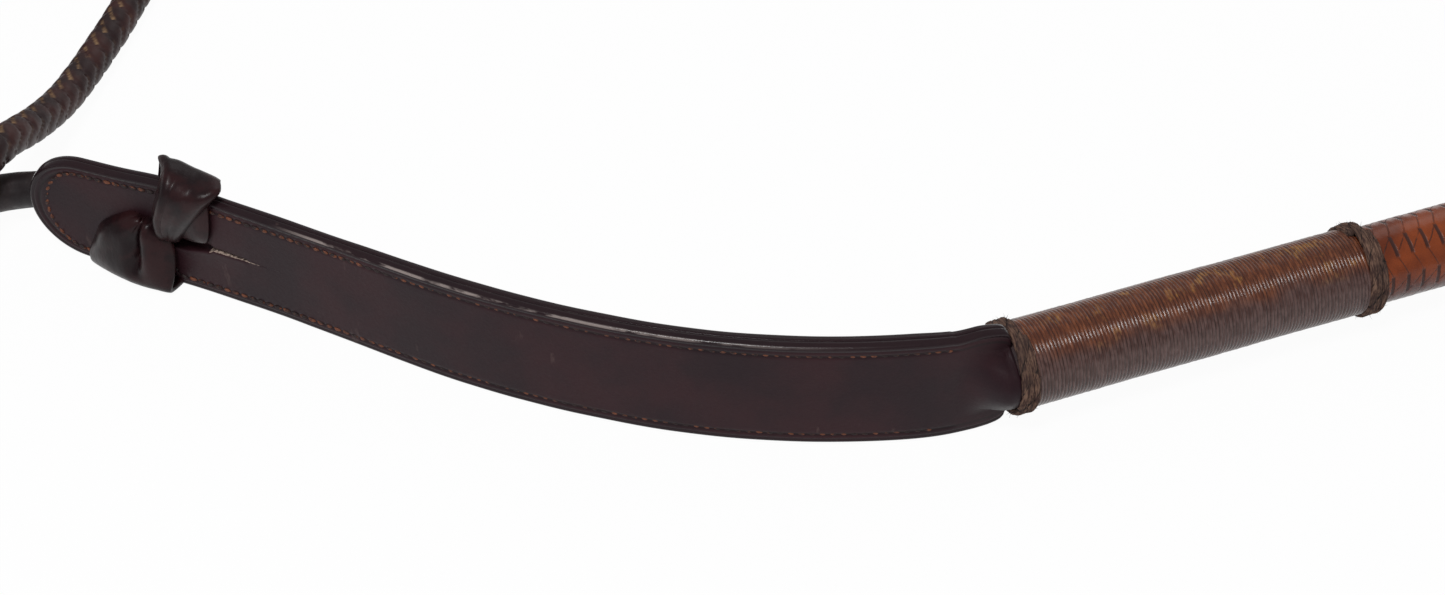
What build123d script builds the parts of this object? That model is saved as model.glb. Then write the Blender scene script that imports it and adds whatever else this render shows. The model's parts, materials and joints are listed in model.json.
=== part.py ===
from build123d import *
import os
from math import cos, pi, radians, sin, tan

# Hunting whip lying on a table: a tapered leather-covered stock with an antler crook at its
# handle end, a stitched two-ply leather keeper whipped on to its thin end, and a plaited
# leather thong hitched through the slit in the keeper. Millimetres. While it is modelled, the
# stock's axis runs along +X from the keeper's root at X = 0 to the handle, and Z = 0 is the
# table, on which the keeper stands on its lower edge. At the end everything is moved so that
# the origin is the middle of the whip's base, cord left out.

# Keeper: two plies, bent in plan. Each stretch is its length and bend radius: positive bends
# towards +Y, negative bends back, and 0 is straight.
KEEPER_WIDTH = 24.0
PLY_THICKNESS = 1.45
GLUE_LINE = 0.1
KEEPER_STRETCHES = ((12.6, 49.6), (53.4, 146.0), (45.5, 202.0), (24.7, 0.0), (59.2, -395.0))
KEEPER_SET_FORWARD = 0.7
SHOULDER_LENGTH = 15.0
SHOULDER_HEIGHT = 18.6

# Stitching: a thread laid in a groove round the edge of each outer face.
STITCH_MARGIN = 2.3
STITCH_START = 9.0
THREAD_WIDTH = 0.5
GROOVE_WIDTH = 0.7
GROOVE_DEPTH = 0.3
THREAD_PROUD = 0.05

# Slit for the thong, as distances back from the keeper's tip.
SLIT_TIP_DISTANCE = 25.2
SLIT_EYE_LENGTH = 14.6
SLIT_EYE_HEIGHT = 5.2
SLIT_TAPER_LENGTH = 16.0

# Thong's eye: soft leather wrapped over and under the keeper, with a web through the slit.
UPPER_WRAP = (26.7, 43.2)
LOWER_WRAP = (15.2, 34.2)
WRAP_FRONT_THICKNESS = 3.4
WRAP_BACK_THICKNESS = 1.2
WRAP_TOP_THICKNESS = 3.6
WRAP_UNDER_THICKNESS = 1.2
WEB_LENGTH = 9.0
WEB_HEIGHT = 4.6
SOFT_CLEARANCE = 0.3

# Stock: cane core, leather lining and plaited cover, all tapering from tip to handle.
CORE_START = 2.0
CORE_TIP_RADIUS = 5.6
CORE_HANDLE_RADIUS = 6.5
PLAIT_START = 46.0
PLAIT_END = 455.0
PLAIT_TIP_RADIUS = 7.55
PLAIT_HANDLE_RADIUS = 8.85
PLAIT_THICKNESS = 1.4
LAYER_CLEARANCE = 0.05
END_THREAD_LENGTH = 3.0

# Whipping of waxed thread over the joint, with a twine ring at each end.
FRONT_RING_LENGTH = 8.0
WHIPPING_LENGTH = 62.0
REAR_RING_LENGTH = 9.0
WHIPPING_RADIUS = 8.45
WHIPPING_BORE_RADIUS = 7.72
RING_RADIUS = 9.3
TAIL_START = 1.0
TAIL_PARTING = 1.2

# Collar and handle.
COLLAR_LENGTH = 36.0
COLLAR_RADIUS = 10.2
COLLAR_OVERLAP = 14.0
COLLAR_CLEARANCE = 0.12
COLLAR_EDGE_CHAMFER = 0.5
DOWEL_RADIUS = 2.5
DOWEL_LENGTH = 56.0
DOWEL_CLEARANCE = 0.03
ANTLER_NECK_RADIUS = 10.4
ANTLER_HEEL_RADIUS = 11.7
ANTLER_ARM_RADIUS = 10.6
ANTLER_END_RADIUS = 9.4
ANTLER_REACH = 28.0
ANTLER_ARM_LENGTH = 112.0
ANTLER_BEND_RADIUS = 19.0
ANTLER_HEEL_SHARE = 0.16
ANTLER_ARM_SHARE = 0.45
BURR_RADIUS = 11.6
BURR_THICKNESS = 5.0
BURR_FROM_END = 9.0
STUD_RADIUS = 7.5
STUD_THICKNESS = 3.4
STUD_RIM_RADIUS = 1.6
STUD_SHANK_RADIUS = 2.0
STUD_SHANK_LENGTH = 14.0

# Thong: smooth neck, then a round plait that makes one loose loop over the neck and runs to
# a tied coil of three turns. The points are the corners of its route.
THONG_RADIUS = 3.6
NECK_RADIUS = 4.0
NECK_CORNERS = 6
THONG_POINTS = (
    (-127.0, 98.2, 12.0),
    (-135.5, 106.6, 11.6),
    (-144.5, 113.3, 10.4),
    (-152.6, 119.3, 8.4),
    (-161.6, 123.6, 6.0),
    (-173.0, 127.0, 4.5),
    (-187.0, 130.2, 4.0),
    (-203.2, 132.0, 3.9),
    (-219.3, 131.2, 3.8),
    (-232.6, 122.4, 3.8),
    (-238.4, 107.6, 3.8),
    (-235.2, 92.2, 3.8),
    (-223.9, 81.2, 3.8),
    (-208.2, 78.6, 4.0),
    (-193.6, 85.4, 6.0),
    (-181.0, 99.6, 11.2),
    (-170.0, 112.2, 17.0),
    (-159.0, 124.2, 17.4),
    (-151.0, 135.6, 10.8),
    (-142.4, 148.2, 5.4),
    (-132.2, 163.0, 3.8),
    (-121.4, 178.6, 3.7),
    (-112.8, 193.4, 3.7),
    (-105.2, 208.3, 3.7),
    (-97.8, 223.3, 3.7),
)
COIL_RADIUS = 38.0
COIL_CORNER_RADIUS = 3.4
TOP_TURN_RADIUS = 3.2
TOP_TURN_HEIGHT = 9.8
TOP_TURN_START = 300.0
TOP_TURN_ARC = 320.0
TIE_ANGLE = 200.0
TIE_WIDTH = 6.0
TIE_THICKNESS = 0.6
KNOT_RADIUS = 4.3
KNOT_LENGTH = 11.0
KNOT_EDGE_RADIUS = 1.9

# How far a cutter runs past what it cuts.
OVERRUN = 10.0

# Worked out from the sizes above.
AXIS_HEIGHT = KEEPER_WIDTH / 2
KEEPER_THICKNESS = 2 * PLY_THICKNESS + GLUE_LINE
KEEPER_LENGTH = sum(length for length, radius in KEEPER_STRETCHES)
ROOT_X = -KEEPER_THICKNESS / 2 - SOFT_CLEARANCE
WHIPPING_START = FRONT_RING_LENGTH
WHIPPING_END = WHIPPING_START + WHIPPING_LENGTH
COLLAR_START = PLAIT_END - COLLAR_OVERLAP
COLLAR_END = COLLAR_START + COLLAR_LENGTH
HEEL_X = COLLAR_END + ANTLER_REACH
WAIST_DEPTH = WRAP_UNDER_THICKNESS + SOFT_CLEARANCE
WEB_DEPTH = KEEPER_THICKNESS + SOFT_CLEARANCE + WRAP_BACK_THICKNESS
STOCK_AXIS = Axis((0, 0, AXIS_HEIGHT), (1, 0, 0))


def station(distance):
    """Point and heading of the keeper's middle line, a distance along it from its root."""
    x, y, heading = ROOT_X, -KEEPER_SET_FORWARD, pi
    for length, radius in KEEPER_STRETCHES:
        step = min(distance, length)
        if radius:
            turned_heading = heading - step / radius
            x += radius * (sin(heading) - sin(turned_heading))
            y += radius * (cos(turned_heading) - cos(heading))
            heading = turned_heading
        else:
            x += step * cos(heading)
            y += step * sin(heading)
        distance -= step
        if distance <= 0:
            break
    return x, y, heading


def beside(distance, offset, height):
    """Point at an offset from the keeper's middle line, positive towards its back."""
    x, y, heading = station(distance)
    return Vector(x + offset * sin(heading), y - offset * cos(heading), height)


def across(distance, height):
    """Plane square to the keeper: X along it to the tip, Z out of its back."""
    x, y, heading = station(distance)
    return Plane(
        origin=(x, y, height),
        x_dir=(cos(heading), sin(heading), 0),
        z_dir=(sin(heading), -cos(heading), 0),
    )


def side_line(offset, height, start, end):
    """Edges along the keeper at one offset, from one distance to another."""
    edges = []
    stretch_start = 0
    for length, radius in KEEPER_STRETCHES:
        low = max(start, stretch_start)
        high = min(end, stretch_start + length)
        stretch_start += length
        if high - low < 1e-6:
            continue
        first = beside(low, offset, height)
        middle = beside((low + high) / 2, offset, height)
        last = beside(high, offset, height)
        edges.append(ThreePointArc(first, middle, last) if radius else Line(first, last))
    return edges


def strip(front, back, low, high, start=0.0, end=KEEPER_LENGTH):
    """Solid that follows the keeper's bends between two offsets and two heights."""
    ends = [Line(beside(s, front, low), beside(s, back, low)) for s in (start, end)]
    outline = side_line(front, low, start, end) + side_line(back, low, start, end) + ends
    return extrude(make_face(outline), high - low, dir=(0, 0, 1))


def tip_disc(radius):
    """Disc through the keeper whose edge is concentric with its half-round tip."""
    return across(KEEPER_LENGTH - KEEPER_WIDTH / 2, AXIS_HEIGHT) * Cylinder(radius, 3 * OVERRUN)


def turned(*profile):
    """Solid turned about the stock's axis from corners given as (X, radius)."""
    corners = [(x, 0, AXIS_HEIGHT + radius) for x, radius in profile]
    return revolve(make_face(Polyline(*corners, close=True)), STOCK_AXIS, 360)


def along_stock(start, end, radius):
    """Round bar on the stock's axis."""
    return turned((start, 0), (start, radius), (end, radius), (end, 0))


def slit():
    """Cutter for the thong's slit: an open eye near the tip, tapering to a point."""
    eye_start = KEEPER_LENGTH - SLIT_TIP_DISTANCE - SLIT_EYE_LENGTH
    place = across(eye_start + SLIT_EYE_LENGTH / 2, AXIS_HEIGHT)
    eye = SlotOverall(SLIT_EYE_LENGTH, SLIT_EYE_HEIGHT)
    widest = -SLIT_EYE_LENGTH / 2 + SLIT_EYE_HEIGHT / 2
    taper = make_face(
        Polyline(
            (widest, SLIT_EYE_HEIGHT / 2),
            (widest, -SLIT_EYE_HEIGHT / 2),
            (widest - SLIT_TAPER_LENGTH, 0),
            close=True,
        )
    )
    return place * extrude(eye + taper, OVERRUN, both=True)


def waists():
    """Dents in the keeper's two edges where the thong's eye is pulled tight."""
    dents = Part()
    for stretch, low, high in (
        (UPPER_WRAP, KEEPER_WIDTH - WAIST_DEPTH, KEEPER_WIDTH + OVERRUN),
        (LOWER_WRAP, -OVERRUN, WAIST_DEPTH),
    ):
        start = KEEPER_LENGTH - stretch[1] - SOFT_CLEARANCE
        end = KEEPER_LENGTH - stretch[0] + SOFT_CLEARANCE
        dents += strip(-OVERRUN, OVERRUN, low, high, start, end)
    return dents


def shoulders():
    """Cutters that round the keeper's two edges down to the whipping at its root."""
    depth = (KEEPER_WIDTH - SHOULDER_HEIGHT) / 2
    radius = (SHOULDER_LENGTH**2 + depth**2) / (2 * depth)
    root = (ROOT_X, KEEPER_WIDTH - depth)
    start = (ROOT_X - SHOULDER_LENGTH, KEEPER_WIDTH)
    past_root = (OVERRUN, KEEPER_WIDTH - depth)
    above_root = (OVERRUN, KEEPER_WIDTH + OVERRUN)
    above_start = (ROOT_X - SHOULDER_LENGTH, KEEPER_WIDTH + OVERRUN)
    outline = [RadiusArc(start, root, radius), Polyline(root, past_root, above_root, above_start, start)]
    upper = extrude(Plane.XZ * make_face(outline), 2 * OVERRUN, both=True)
    return upper + mirror(upper, Plane.XY.offset(AXIS_HEIGHT))


def ply(front, back):
    """One leather ply with its rounded root, half-round tip, waists and slit."""
    straight_end = KEEPER_LENGTH - KEEPER_WIDTH / 2
    body = strip(front, back, 0, KEEPER_WIDTH, 0, straight_end)
    tip = strip(front, back, 0, KEEPER_WIDTH, straight_end) & tip_disc(KEEPER_WIDTH / 2)
    knuckle = Pos(ROOT_X, -KEEPER_SET_FORWARD, AXIS_HEIGHT) * Cylinder(
        KEEPER_THICKNESS / 2, KEEPER_WIDTH
    )
    half = Pos(ROOT_X, front - KEEPER_SET_FORWARD, AXIS_HEIGHT) * Box(
        KEEPER_THICKNESS,
        back - front,
        KEEPER_WIDTH,
        align=(Align.MIN, Align.MIN, Align.CENTER),
    )
    root = knuckle & half
    return body + tip + root - slit() - waists() - shoulders()


def stitch_band(front, back, width):
    """Band along both edges and round the tip, between two offsets."""
    straight_end = KEEPER_LENGTH - KEEPER_WIDTH / 2
    band = Part()
    for height in (STITCH_MARGIN, KEEPER_WIDTH - STITCH_MARGIN):
        low, high = height - width / 2, height + width / 2
        band += strip(front, back, low, high, STITCH_START, straight_end)
    middle = KEEPER_WIDTH / 2 - STITCH_MARGIN
    ring = tip_disc(middle + width / 2) - tip_disc(middle - width / 2)
    return band + (strip(front, back, 0, KEEPER_WIDTH, straight_end) & ring)


def wrap(stretch, low, high, sign):
    """Leather folded over one edge of the keeper, open towards the slit."""
    end, start = (KEEPER_LENGTH - s for s in stretch)
    face = KEEPER_THICKNESS / 2 + SOFT_CLEARANCE
    middle = AXIS_HEIGHT - sign * WEB_HEIGHT / 2
    inner_edge = KEEPER_WIDTH - WAIST_DEPTH + SOFT_CLEARANCE if sign > 0 else WRAP_UNDER_THICKNESS
    outer = strip(-face - WRAP_FRONT_THICKNESS, face + WRAP_BACK_THICKNESS, low, high, start, end)
    inner = strip(-face, face, min(middle, inner_edge), max(middle, inner_edge), start, end)
    return outer - inner


def thong_eye():
    """The hitched eye: a wrap over the top, a wrap under the bottom, and the web between."""
    half_web = WEB_HEIGHT / 2
    top = KEEPER_WIDTH - WAIST_DEPTH + SOFT_CLEARANCE + WRAP_TOP_THICKNESS
    upper = wrap(UPPER_WRAP, AXIS_HEIGHT - half_web, top, 1)
    lower = wrap(LOWER_WRAP, 0, AXIS_HEIGHT + half_web, -1)
    web_middle = KEEPER_LENGTH - SLIT_TIP_DISTANCE - SLIT_EYE_LENGTH / 2
    section = SlotOverall(WEB_LENGTH, WEB_HEIGHT)
    web = across(web_middle, AXIS_HEIGHT) * extrude(section, WEB_DEPTH / 2, both=True)
    return upper + lower + web


def plait_radius(x):
    """Outer radius of the plaited cover at a place along the stock."""
    share = (x - PLAIT_START) / (PLAIT_END - PLAIT_START)
    return PLAIT_TIP_RADIUS + share * (PLAIT_HANDLE_RADIUS - PLAIT_TIP_RADIUS)


def sleeve(start, end, outside, inside):
    """Tapered sleeve over the core, each wall a distance under the plait's surface."""
    return turned(
        (start, plait_radius(start) - inside),
        (start, plait_radius(start) - outside),
        (end, plait_radius(end) - outside),
        (end, plait_radius(end) - inside),
    )


def lining():
    """Leather lining that fills the room between the cane and the plait."""
    under_plait = PLAIT_THICKNESS + LAYER_CLEARANCE
    outer = turned(
        (PLAIT_START, 0),
        (PLAIT_START, plait_radius(PLAIT_START) - under_plait),
        (PLAIT_END, plait_radius(PLAIT_END) - under_plait),
        (PLAIT_END, 0),
    )
    return outer - core(LAYER_CLEARANCE)


def core(extra=0.0):
    """Cane core, made larger all round by extra."""
    return turned(
        (CORE_START, 0),
        (CORE_START, CORE_TIP_RADIUS + extra),
        (PLAIT_END, CORE_HANDLE_RADIUS + extra),
        (PLAIT_END, 0),
    )


def dowel(extra=0.0):
    """Steel dowel that joins the cane to the antler, or its hole."""
    start = PLAIT_END - DOWEL_LENGTH / 2
    return along_stock(start - extra, start + DOWEL_LENGTH + extra, DOWEL_RADIUS + extra)


def tail(side):
    """End of a keeper ply, hollowed to lie on the cane under the whipping; side is -1 or 1."""
    shell_radius = WHIPPING_BORE_RADIUS - 2 * LAYER_CLEARANCE
    end = PLAIT_START - SOFT_CLEARANCE
    shell = along_stock(TAIL_START, end, shell_radius) - core(2 * LAYER_CLEARANCE)
    shell -= along_stock(0, CORE_START, CORE_TIP_RADIUS + 2 * LAYER_CLEARANCE)
    width = shell_radius
    half_space = Pos((TAIL_START + end) / 2, side * (TAIL_PARTING + width / 2), AXIS_HEIGHT) * Box(
        end, width, 3 * shell_radius
    )
    return shell & half_space


def twine_ring(start, length):
    """Two turns of twine round the whipping's end."""
    twine = length / 4
    ring = Part()
    for middle in (start + twine, start + 3 * twine):
        turn = Torus(RING_RADIUS - twine, twine)
        ring += Pos(middle, 0, AXIS_HEIGHT) * Rot(0, 90, 0) * turn
    ring += along_stock(start + twine, start + 3 * twine, RING_RADIUS - twine / 2)
    return ring - along_stock(start - OVERRUN, start + length + OVERRUN, WHIPPING_BORE_RADIUS)


def collar():
    """Plain metal collar over the joint of stock and handle."""
    bore = PLAIT_HANDLE_RADIUS + COLLAR_CLEARANCE
    tube = turned(
        (COLLAR_START, bore),
        (COLLAR_START, COLLAR_RADIUS),
        (COLLAR_END, COLLAR_RADIUS),
        (COLLAR_END, bore),
    )
    circles = tube.edges().filter_by(GeomType.CIRCLE)
    rims = circles.group_by(SortBy.RADIUS)[-1]
    return chamfer(rims, COLLAR_EDGE_CHAMFER)


def crook():
    """Antler crook: a spigot in the collar, a right-angled heel and a long arm towards +Y."""
    start = Vector(COLLAR_END, 0, AXIS_HEIGHT)
    heel = Vector(HEEL_X, 0, AXIS_HEIGHT)
    end = Vector(HEEL_X, ANTLER_ARM_LENGTH, AXIS_HEIGHT)
    path = FilletPolyline(start, heel, end, radius=ANTLER_BEND_RADIUS)
    places = (
        (0.0, ANTLER_NECK_RADIUS),
        (ANTLER_HEEL_SHARE, ANTLER_HEEL_RADIUS),
        (ANTLER_ARM_SHARE, ANTLER_ARM_RADIUS),
        (1.0, ANTLER_END_RADIUS),
    )
    sections = [Plane(path ^ place) * Circle(radius) for place, radius in places]
    horn = sweep(sections, path=path, multisection=True)
    spigot_start = PLAIT_END + END_THREAD_LENGTH + LAYER_CLEARANCE
    spigot = along_stock(spigot_start, COLLAR_END + BURR_THICKNESS, PLAIT_HANDLE_RADIUS)
    burr_ring = Torus(BURR_RADIUS - BURR_THICKNESS / 2, BURR_THICKNESS / 2)
    burr = Pos(HEEL_X, ANTLER_ARM_LENGTH - BURR_FROM_END, AXIS_HEIGHT) * Rot(90, 0, 0) * burr_ring
    return horn + spigot + burr - dowel(DOWEL_CLEARANCE) - stud_shank(DOWEL_CLEARANCE)


def stud_shank(extra=0.0):
    """Shank of the stud in the antler's end, or its hole."""
    length = STUD_SHANK_LENGTH + extra
    place = Pos(HEEL_X, ANTLER_ARM_LENGTH - length / 2, AXIS_HEIGHT) * Rot(90, 0, 0)
    return place * Cylinder(STUD_SHANK_RADIUS + extra, length)


def stud():
    """Metal stud with a rounded rim that closes the antler's end."""
    place = Pos(HEEL_X, ANTLER_ARM_LENGTH, AXIS_HEIGHT) * Rot(-90, 0, 0)
    head = Cylinder(STUD_RADIUS, STUD_THICKNESS, align=(Align.CENTER, Align.CENTER, Align.MIN))
    head = fillet(head.edges().group_by(Axis.Z)[-1], STUD_RIM_RADIUS)
    return place * head + stud_shank()


def rounded_route(points):
    """Straight runs joined by arcs, each as large as its two runs allow."""
    radii = []
    for before, here, after in zip(points, points[1:], points[2:]):
        shorter = min((here - before).length, (after - here).length)
        turn = (here - before).get_angle(after - here)
        radii.append(0.45 * shorter / tan(radians(turn) / 2))
    print("thong route radii:", [round(radius, 1) for radius in radii])
    return FilletPolyline(*points, radius=radii)


def thong_tube(points, radius):
    """Tube of one radius along a route, and its length."""
    path = rounded_route(points)
    section = Plane(path ^ 0) * Circle(radius)
    tube = sweep(section, path=path)
    share = tube.volume / (pi * radius**2 * path.length)
    print("length", round(path.length, 1), "volume over section times length", round(share, 4))
    return tube


def coil_frame():
    """Middle of the coil, which the thong meets at a tangent, and the thong's heading there."""
    entry, before = Vector(*THONG_POINTS[-1]), Vector(*THONG_POINTS[-2])
    heading = (entry - before).normalized()
    left = Vector(-heading.Y, heading.X, 0)
    return entry + left * (COIL_RADIUS + THONG_RADIUS), entry, heading


def coil_ring(points, arc, start=0.0):
    """Face of (radius, height) corners turned about the coil's middle."""
    middle = coil_frame()[0]
    face = make_face(Polyline(*[(radius, 0, height) for radius, height in points], close=True))
    return Pos(middle.X, middle.Y, 0) * Rot(0, 0, start) * revolve(face, Axis.Z, arc)


def coil():
    """Closed shape of the wound thong: two turns side by side and one on top of them."""
    middle, entry, heading = coil_frame()
    inner, outer = COIL_RADIUS - 2 * THONG_RADIUS, COIL_RADIUS + 2 * THONG_RADIUS
    height = 2 * THONG_RADIUS
    slab = coil_ring([(inner, 0), (outer, 0), (outer, height), (inner, height)], 360)
    slab = fillet(slab.edges(), COIL_CORNER_RADIUS)
    top_face = Plane.XZ * Pos(COIL_RADIUS, TOP_TURN_HEIGHT) * Circle(TOP_TURN_RADIUS)
    top = revolve(top_face, Axis.Z, TOP_TURN_ARC)
    top = Pos(middle.X, middle.Y, 0) * Rot(0, 0, TOP_TURN_START) * top
    direction = heading.get_signed_angle(Vector(1, 0, 0), Vector(0, 0, -1))
    reach = 2 * COIL_RADIUS
    align = (Align.MAX, Align.CENTER, Align.CENTER)
    room = Box(reach, height + SOFT_CLEARANCE, height + SOFT_CLEARANCE, align=align)
    pocket = Pos(entry.X, entry.Y, height / 2) * Rot(0, 0, direction) * room
    return slab + top - pocket - tie_groove()


def tie_groove():
    """Cutter for the room that the tie needs under the coil's turns."""
    middle = coil_frame()[0]
    depth = TIE_THICKNESS + SOFT_CLEARANCE
    groove = Box(6 * THONG_RADIUS, TIE_WIDTH + 2 * SOFT_CLEARANCE, 2 * depth)
    return Pos(middle.X, middle.Y, 0) * Rot(0, 0, TIE_ANGLE) * Pos(COIL_RADIUS, 0, 0) * groove


def tie_outline(margin, floor):
    """Six-sided outline round the coil's section, a margin outside it."""
    half = 2 * THONG_RADIUS + margin
    shoulder = TOP_TURN_RADIUS + margin
    top = TOP_TURN_HEIGHT + TOP_TURN_RADIUS + margin
    corners = (
        (COIL_RADIUS - half, floor),
        (COIL_RADIUS + half, floor),
        (COIL_RADIUS + half, 2 * THONG_RADIUS),
        (COIL_RADIUS + shoulder, top),
        (COIL_RADIUS - shoulder, top),
        (COIL_RADIUS - half, 2 * THONG_RADIUS),
    )
    return Plane.XZ * make_face(Polyline(*corners, close=True))


def coil_tie():
    """Leather tie round all the turns of the coil."""
    middle = coil_frame()[0]
    outside = tie_outline(SOFT_CLEARANCE + TIE_THICKNESS, 0)
    band = outside - tie_outline(SOFT_CLEARANCE, TIE_THICKNESS)
    band = extrude(band, TIE_WIDTH / 2, both=True)
    return Pos(middle.X, middle.Y, 0) * Rot(0, 0, TIE_ANGLE) * band


def point_knot():
    """Knot that ends the thong, lying on the coil behind the end of the top turn."""
    middle = coil_frame()[0]
    knot = Cylinder(KNOT_RADIUS, KNOT_LENGTH, align=(Align.CENTER, Align.CENTER, Align.MIN))
    knot = fillet(knot.edges(), KNOT_EDGE_RADIUS)
    height = 2 * THONG_RADIUS + KNOT_RADIUS + LAYER_CLEARANCE
    place = Pos(middle.X, middle.Y, 0) * Rot(0, 0, TOP_TURN_START + TOP_TURN_ARC)
    return place * Pos(COIL_RADIUS, 0, height) * Rot(-90, 0, 0) * knot


half_thick = KEEPER_THICKNESS / 2
half_glue = GLUE_LINE / 2
groove_floor = half_thick - GROOVE_DEPTH
thread_face = half_thick + THREAD_PROUD
corners = [Vector(*point) for point in THONG_POINTS]
neck_end = (corners[NECK_CORNERS - 1] + corners[NECK_CORNERS]) / 2
neck = thong_tube(corners[:NECK_CORNERS] + [neck_end], NECK_RADIUS)

# The whip itself, then the cord and what is on it.
whip = {
    "stock_core": core() - dowel(DOWEL_CLEARANCE),
    "core_lining": lining(),
    "stock_plait": sleeve(PLAIT_START, PLAIT_END, 0, PLAIT_THICKNESS),
    "plait_end_thread": along_stock(PLAIT_END, PLAIT_END + END_THREAD_LENGTH, PLAIT_HANDLE_RADIUS)
    - dowel(DOWEL_CLEARANCE),
    "whipping": along_stock(WHIPPING_START, WHIPPING_END, WHIPPING_RADIUS)
    - along_stock(WHIPPING_START - OVERRUN, WHIPPING_END + OVERRUN, WHIPPING_BORE_RADIUS),
    "whipping_ring_front": twine_ring(0, FRONT_RING_LENGTH),
    "whipping_ring_rear": twine_ring(WHIPPING_END, REAR_RING_LENGTH),
    "keeper_front_tail": tail(-1),
    "keeper_back_tail": tail(1),
    "collar": collar(),
    "handle_dowel": dowel(),
    "antler_crook": crook(),
    "crook_stud": stud(),
    "keeper_front_ply": ply(-half_thick, -half_glue)
    - stitch_band(-half_thick - OVERRUN, -groove_floor, GROOVE_WIDTH),
    "keeper_back_ply": ply(half_glue, half_thick)
    - stitch_band(groove_floor, half_thick + OVERRUN, GROOVE_WIDTH),
    "front_stitching": stitch_band(-thread_face, -groove_floor, THREAD_WIDTH),
    "back_stitching": stitch_band(groove_floor, thread_face, THREAD_WIDTH),
    "thong_eye": thong_eye(),
}
cord = {
    "thong_neck": neck + Pos(*THONG_POINTS[0]) * Sphere(NECK_RADIUS),
    "thong_plait": thong_tube([neck_end] + corners[NECK_CORNERS:], THONG_RADIUS),
    "thong_coil": coil(),
    "coil_tie": coil_tie(),
    "thong_point_knot": point_knot(),
}

# The origin goes to the middle of the whip's base, with the cord left out.
box = Compound([solid for piece in whip.values() for solid in piece.solids()]).bounding_box()
shift = Vector(-(box.min.X + box.max.X) / 2, -(box.min.Y + box.max.Y) / 2, -box.min.Z)
print("whip box", box.min, box.max, "shift", shift)
os.makedirs("parts", exist_ok=True)
for name, piece in {**whip, **cord}.items():
    export_step(Compound([solid for solid in piece.solids()]).moved(Pos(*shift)), f"parts/{name}.step")
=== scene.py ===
import json
import random
from math import atan2, cos, exp, floor, hypot, pi, radians, sin, sqrt, tau

import bmesh
import bpy
from mathutils import Matrix, Vector, noise


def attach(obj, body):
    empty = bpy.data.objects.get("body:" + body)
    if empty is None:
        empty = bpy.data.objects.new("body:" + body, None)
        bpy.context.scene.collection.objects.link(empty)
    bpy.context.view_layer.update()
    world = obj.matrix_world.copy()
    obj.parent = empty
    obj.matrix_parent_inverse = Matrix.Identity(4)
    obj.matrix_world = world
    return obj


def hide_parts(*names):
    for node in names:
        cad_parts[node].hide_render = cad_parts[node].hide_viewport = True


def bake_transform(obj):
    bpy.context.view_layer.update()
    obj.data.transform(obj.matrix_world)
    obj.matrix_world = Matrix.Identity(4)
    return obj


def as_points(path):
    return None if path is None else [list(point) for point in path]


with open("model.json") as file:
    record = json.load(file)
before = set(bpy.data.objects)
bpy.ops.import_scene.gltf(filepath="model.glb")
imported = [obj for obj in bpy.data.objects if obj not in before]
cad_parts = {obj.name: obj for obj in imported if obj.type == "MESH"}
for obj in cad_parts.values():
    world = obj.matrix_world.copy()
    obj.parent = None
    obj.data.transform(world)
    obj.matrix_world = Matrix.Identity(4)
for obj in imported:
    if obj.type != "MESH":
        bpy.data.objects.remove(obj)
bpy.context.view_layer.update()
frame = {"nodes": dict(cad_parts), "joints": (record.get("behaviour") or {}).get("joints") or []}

# A hunting whip lying on a table: plaited stock with an antler crook, thread whipping, a
# stitched leather keeper on its edge, and a plaited thong hitched through the keeper's slit.
# Everything is placed from the two hinges of the frame, in metres.
MM = 0.001
hinges = {joint["name"]: Vector(joint["pos_m"]) for joint in frame["joints"]}
root = hinges["keeper_flex"]
axis_height = root.z
stock_start = root + Vector((1.8, 0.7, 0)) * MM
table = Vector((stock_start.x, stock_start.y, 0))


# Camera. A long lens looks down at the keeper's front face from over the near side of the
# table. The thong leaves its view on the left and at the top, and the stock on the right.
bpy.ops.object.camera_add(
    location=table + Vector((-190.64, -348.02, 396.81)) * MM,
    rotation=(radians(90 - 42.97), 0, radians(-21.38)),
)
camera = bpy.context.object
camera.data.sensor_fit = "HORIZONTAL"
camera.data.angle = radians(27.14)
camera.data.clip_start = 0.01
bpy.context.scene.camera = camera


# Thong: one limp length of round leather plait on a smooth leather neck. The neck leaves the
# keeper's slit behind, drops to the table, and the plait makes a loose loop over it and runs
# off to a tied coil of three turns, two on the table and one on top of them.
# The route's points are in millimetres from the place on the table under the stock's start.
THONG_ROUTE = (
    (-127.0, 98.2, 12.0),
    (-135.5, 106.6, 11.6),
    (-144.5, 113.3, 10.4),
    (-152.6, 119.3, 8.4),
    (-161.6, 123.6, 6.0),
    (-173.0, 127.0, 4.5),
    (-187.0, 130.2, 4.0),
    (-203.2, 132.0, 3.9),
    (-219.3, 131.2, 3.8),
    (-232.6, 122.4, 3.8),
    (-238.4, 107.6, 3.8),
    (-235.2, 92.2, 3.8),
    (-223.9, 81.2, 3.8),
    (-208.2, 78.6, 4.0),
    (-193.6, 85.4, 6.0),
    (-181.0, 99.6, 11.2),
    (-170.0, 112.2, 17.0),
    (-159.0, 124.2, 17.4),
    (-151.0, 135.6, 10.8),
    (-142.4, 148.2, 5.4),
    (-132.2, 163.0, 3.8),
    (-121.4, 178.6, 3.7),
    (-112.8, 193.4, 3.7),
    (-105.2, 208.3, 3.7),
    (-97.8, 223.3, 3.7),
)
THONG_DIAMETER = 7.2 * MM
NECK_DIAMETER = 8.0 * MM
NECK_LENGTH = 62.0 * MM
COIL_RADIUS = 38.0 * MM
COIL_STEP = radians(15)
COIL_TOP_HEIGHT = 9.8 * MM
COIL_END_ANGLE = radians(980)

route = [table + Vector(point) * MM for point in THONG_ROUTE]
heading = (route[-1] - route[-2]).normalized()
to_middle = Vector((-heading.y, heading.x, 0))
coil_middle = route[-1] + to_middle * (COIL_RADIUS + THONG_DIAMETER / 2)
coil_middle.z = 0
entry_angle = atan2(-to_middle.y, -to_middle.x)


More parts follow.
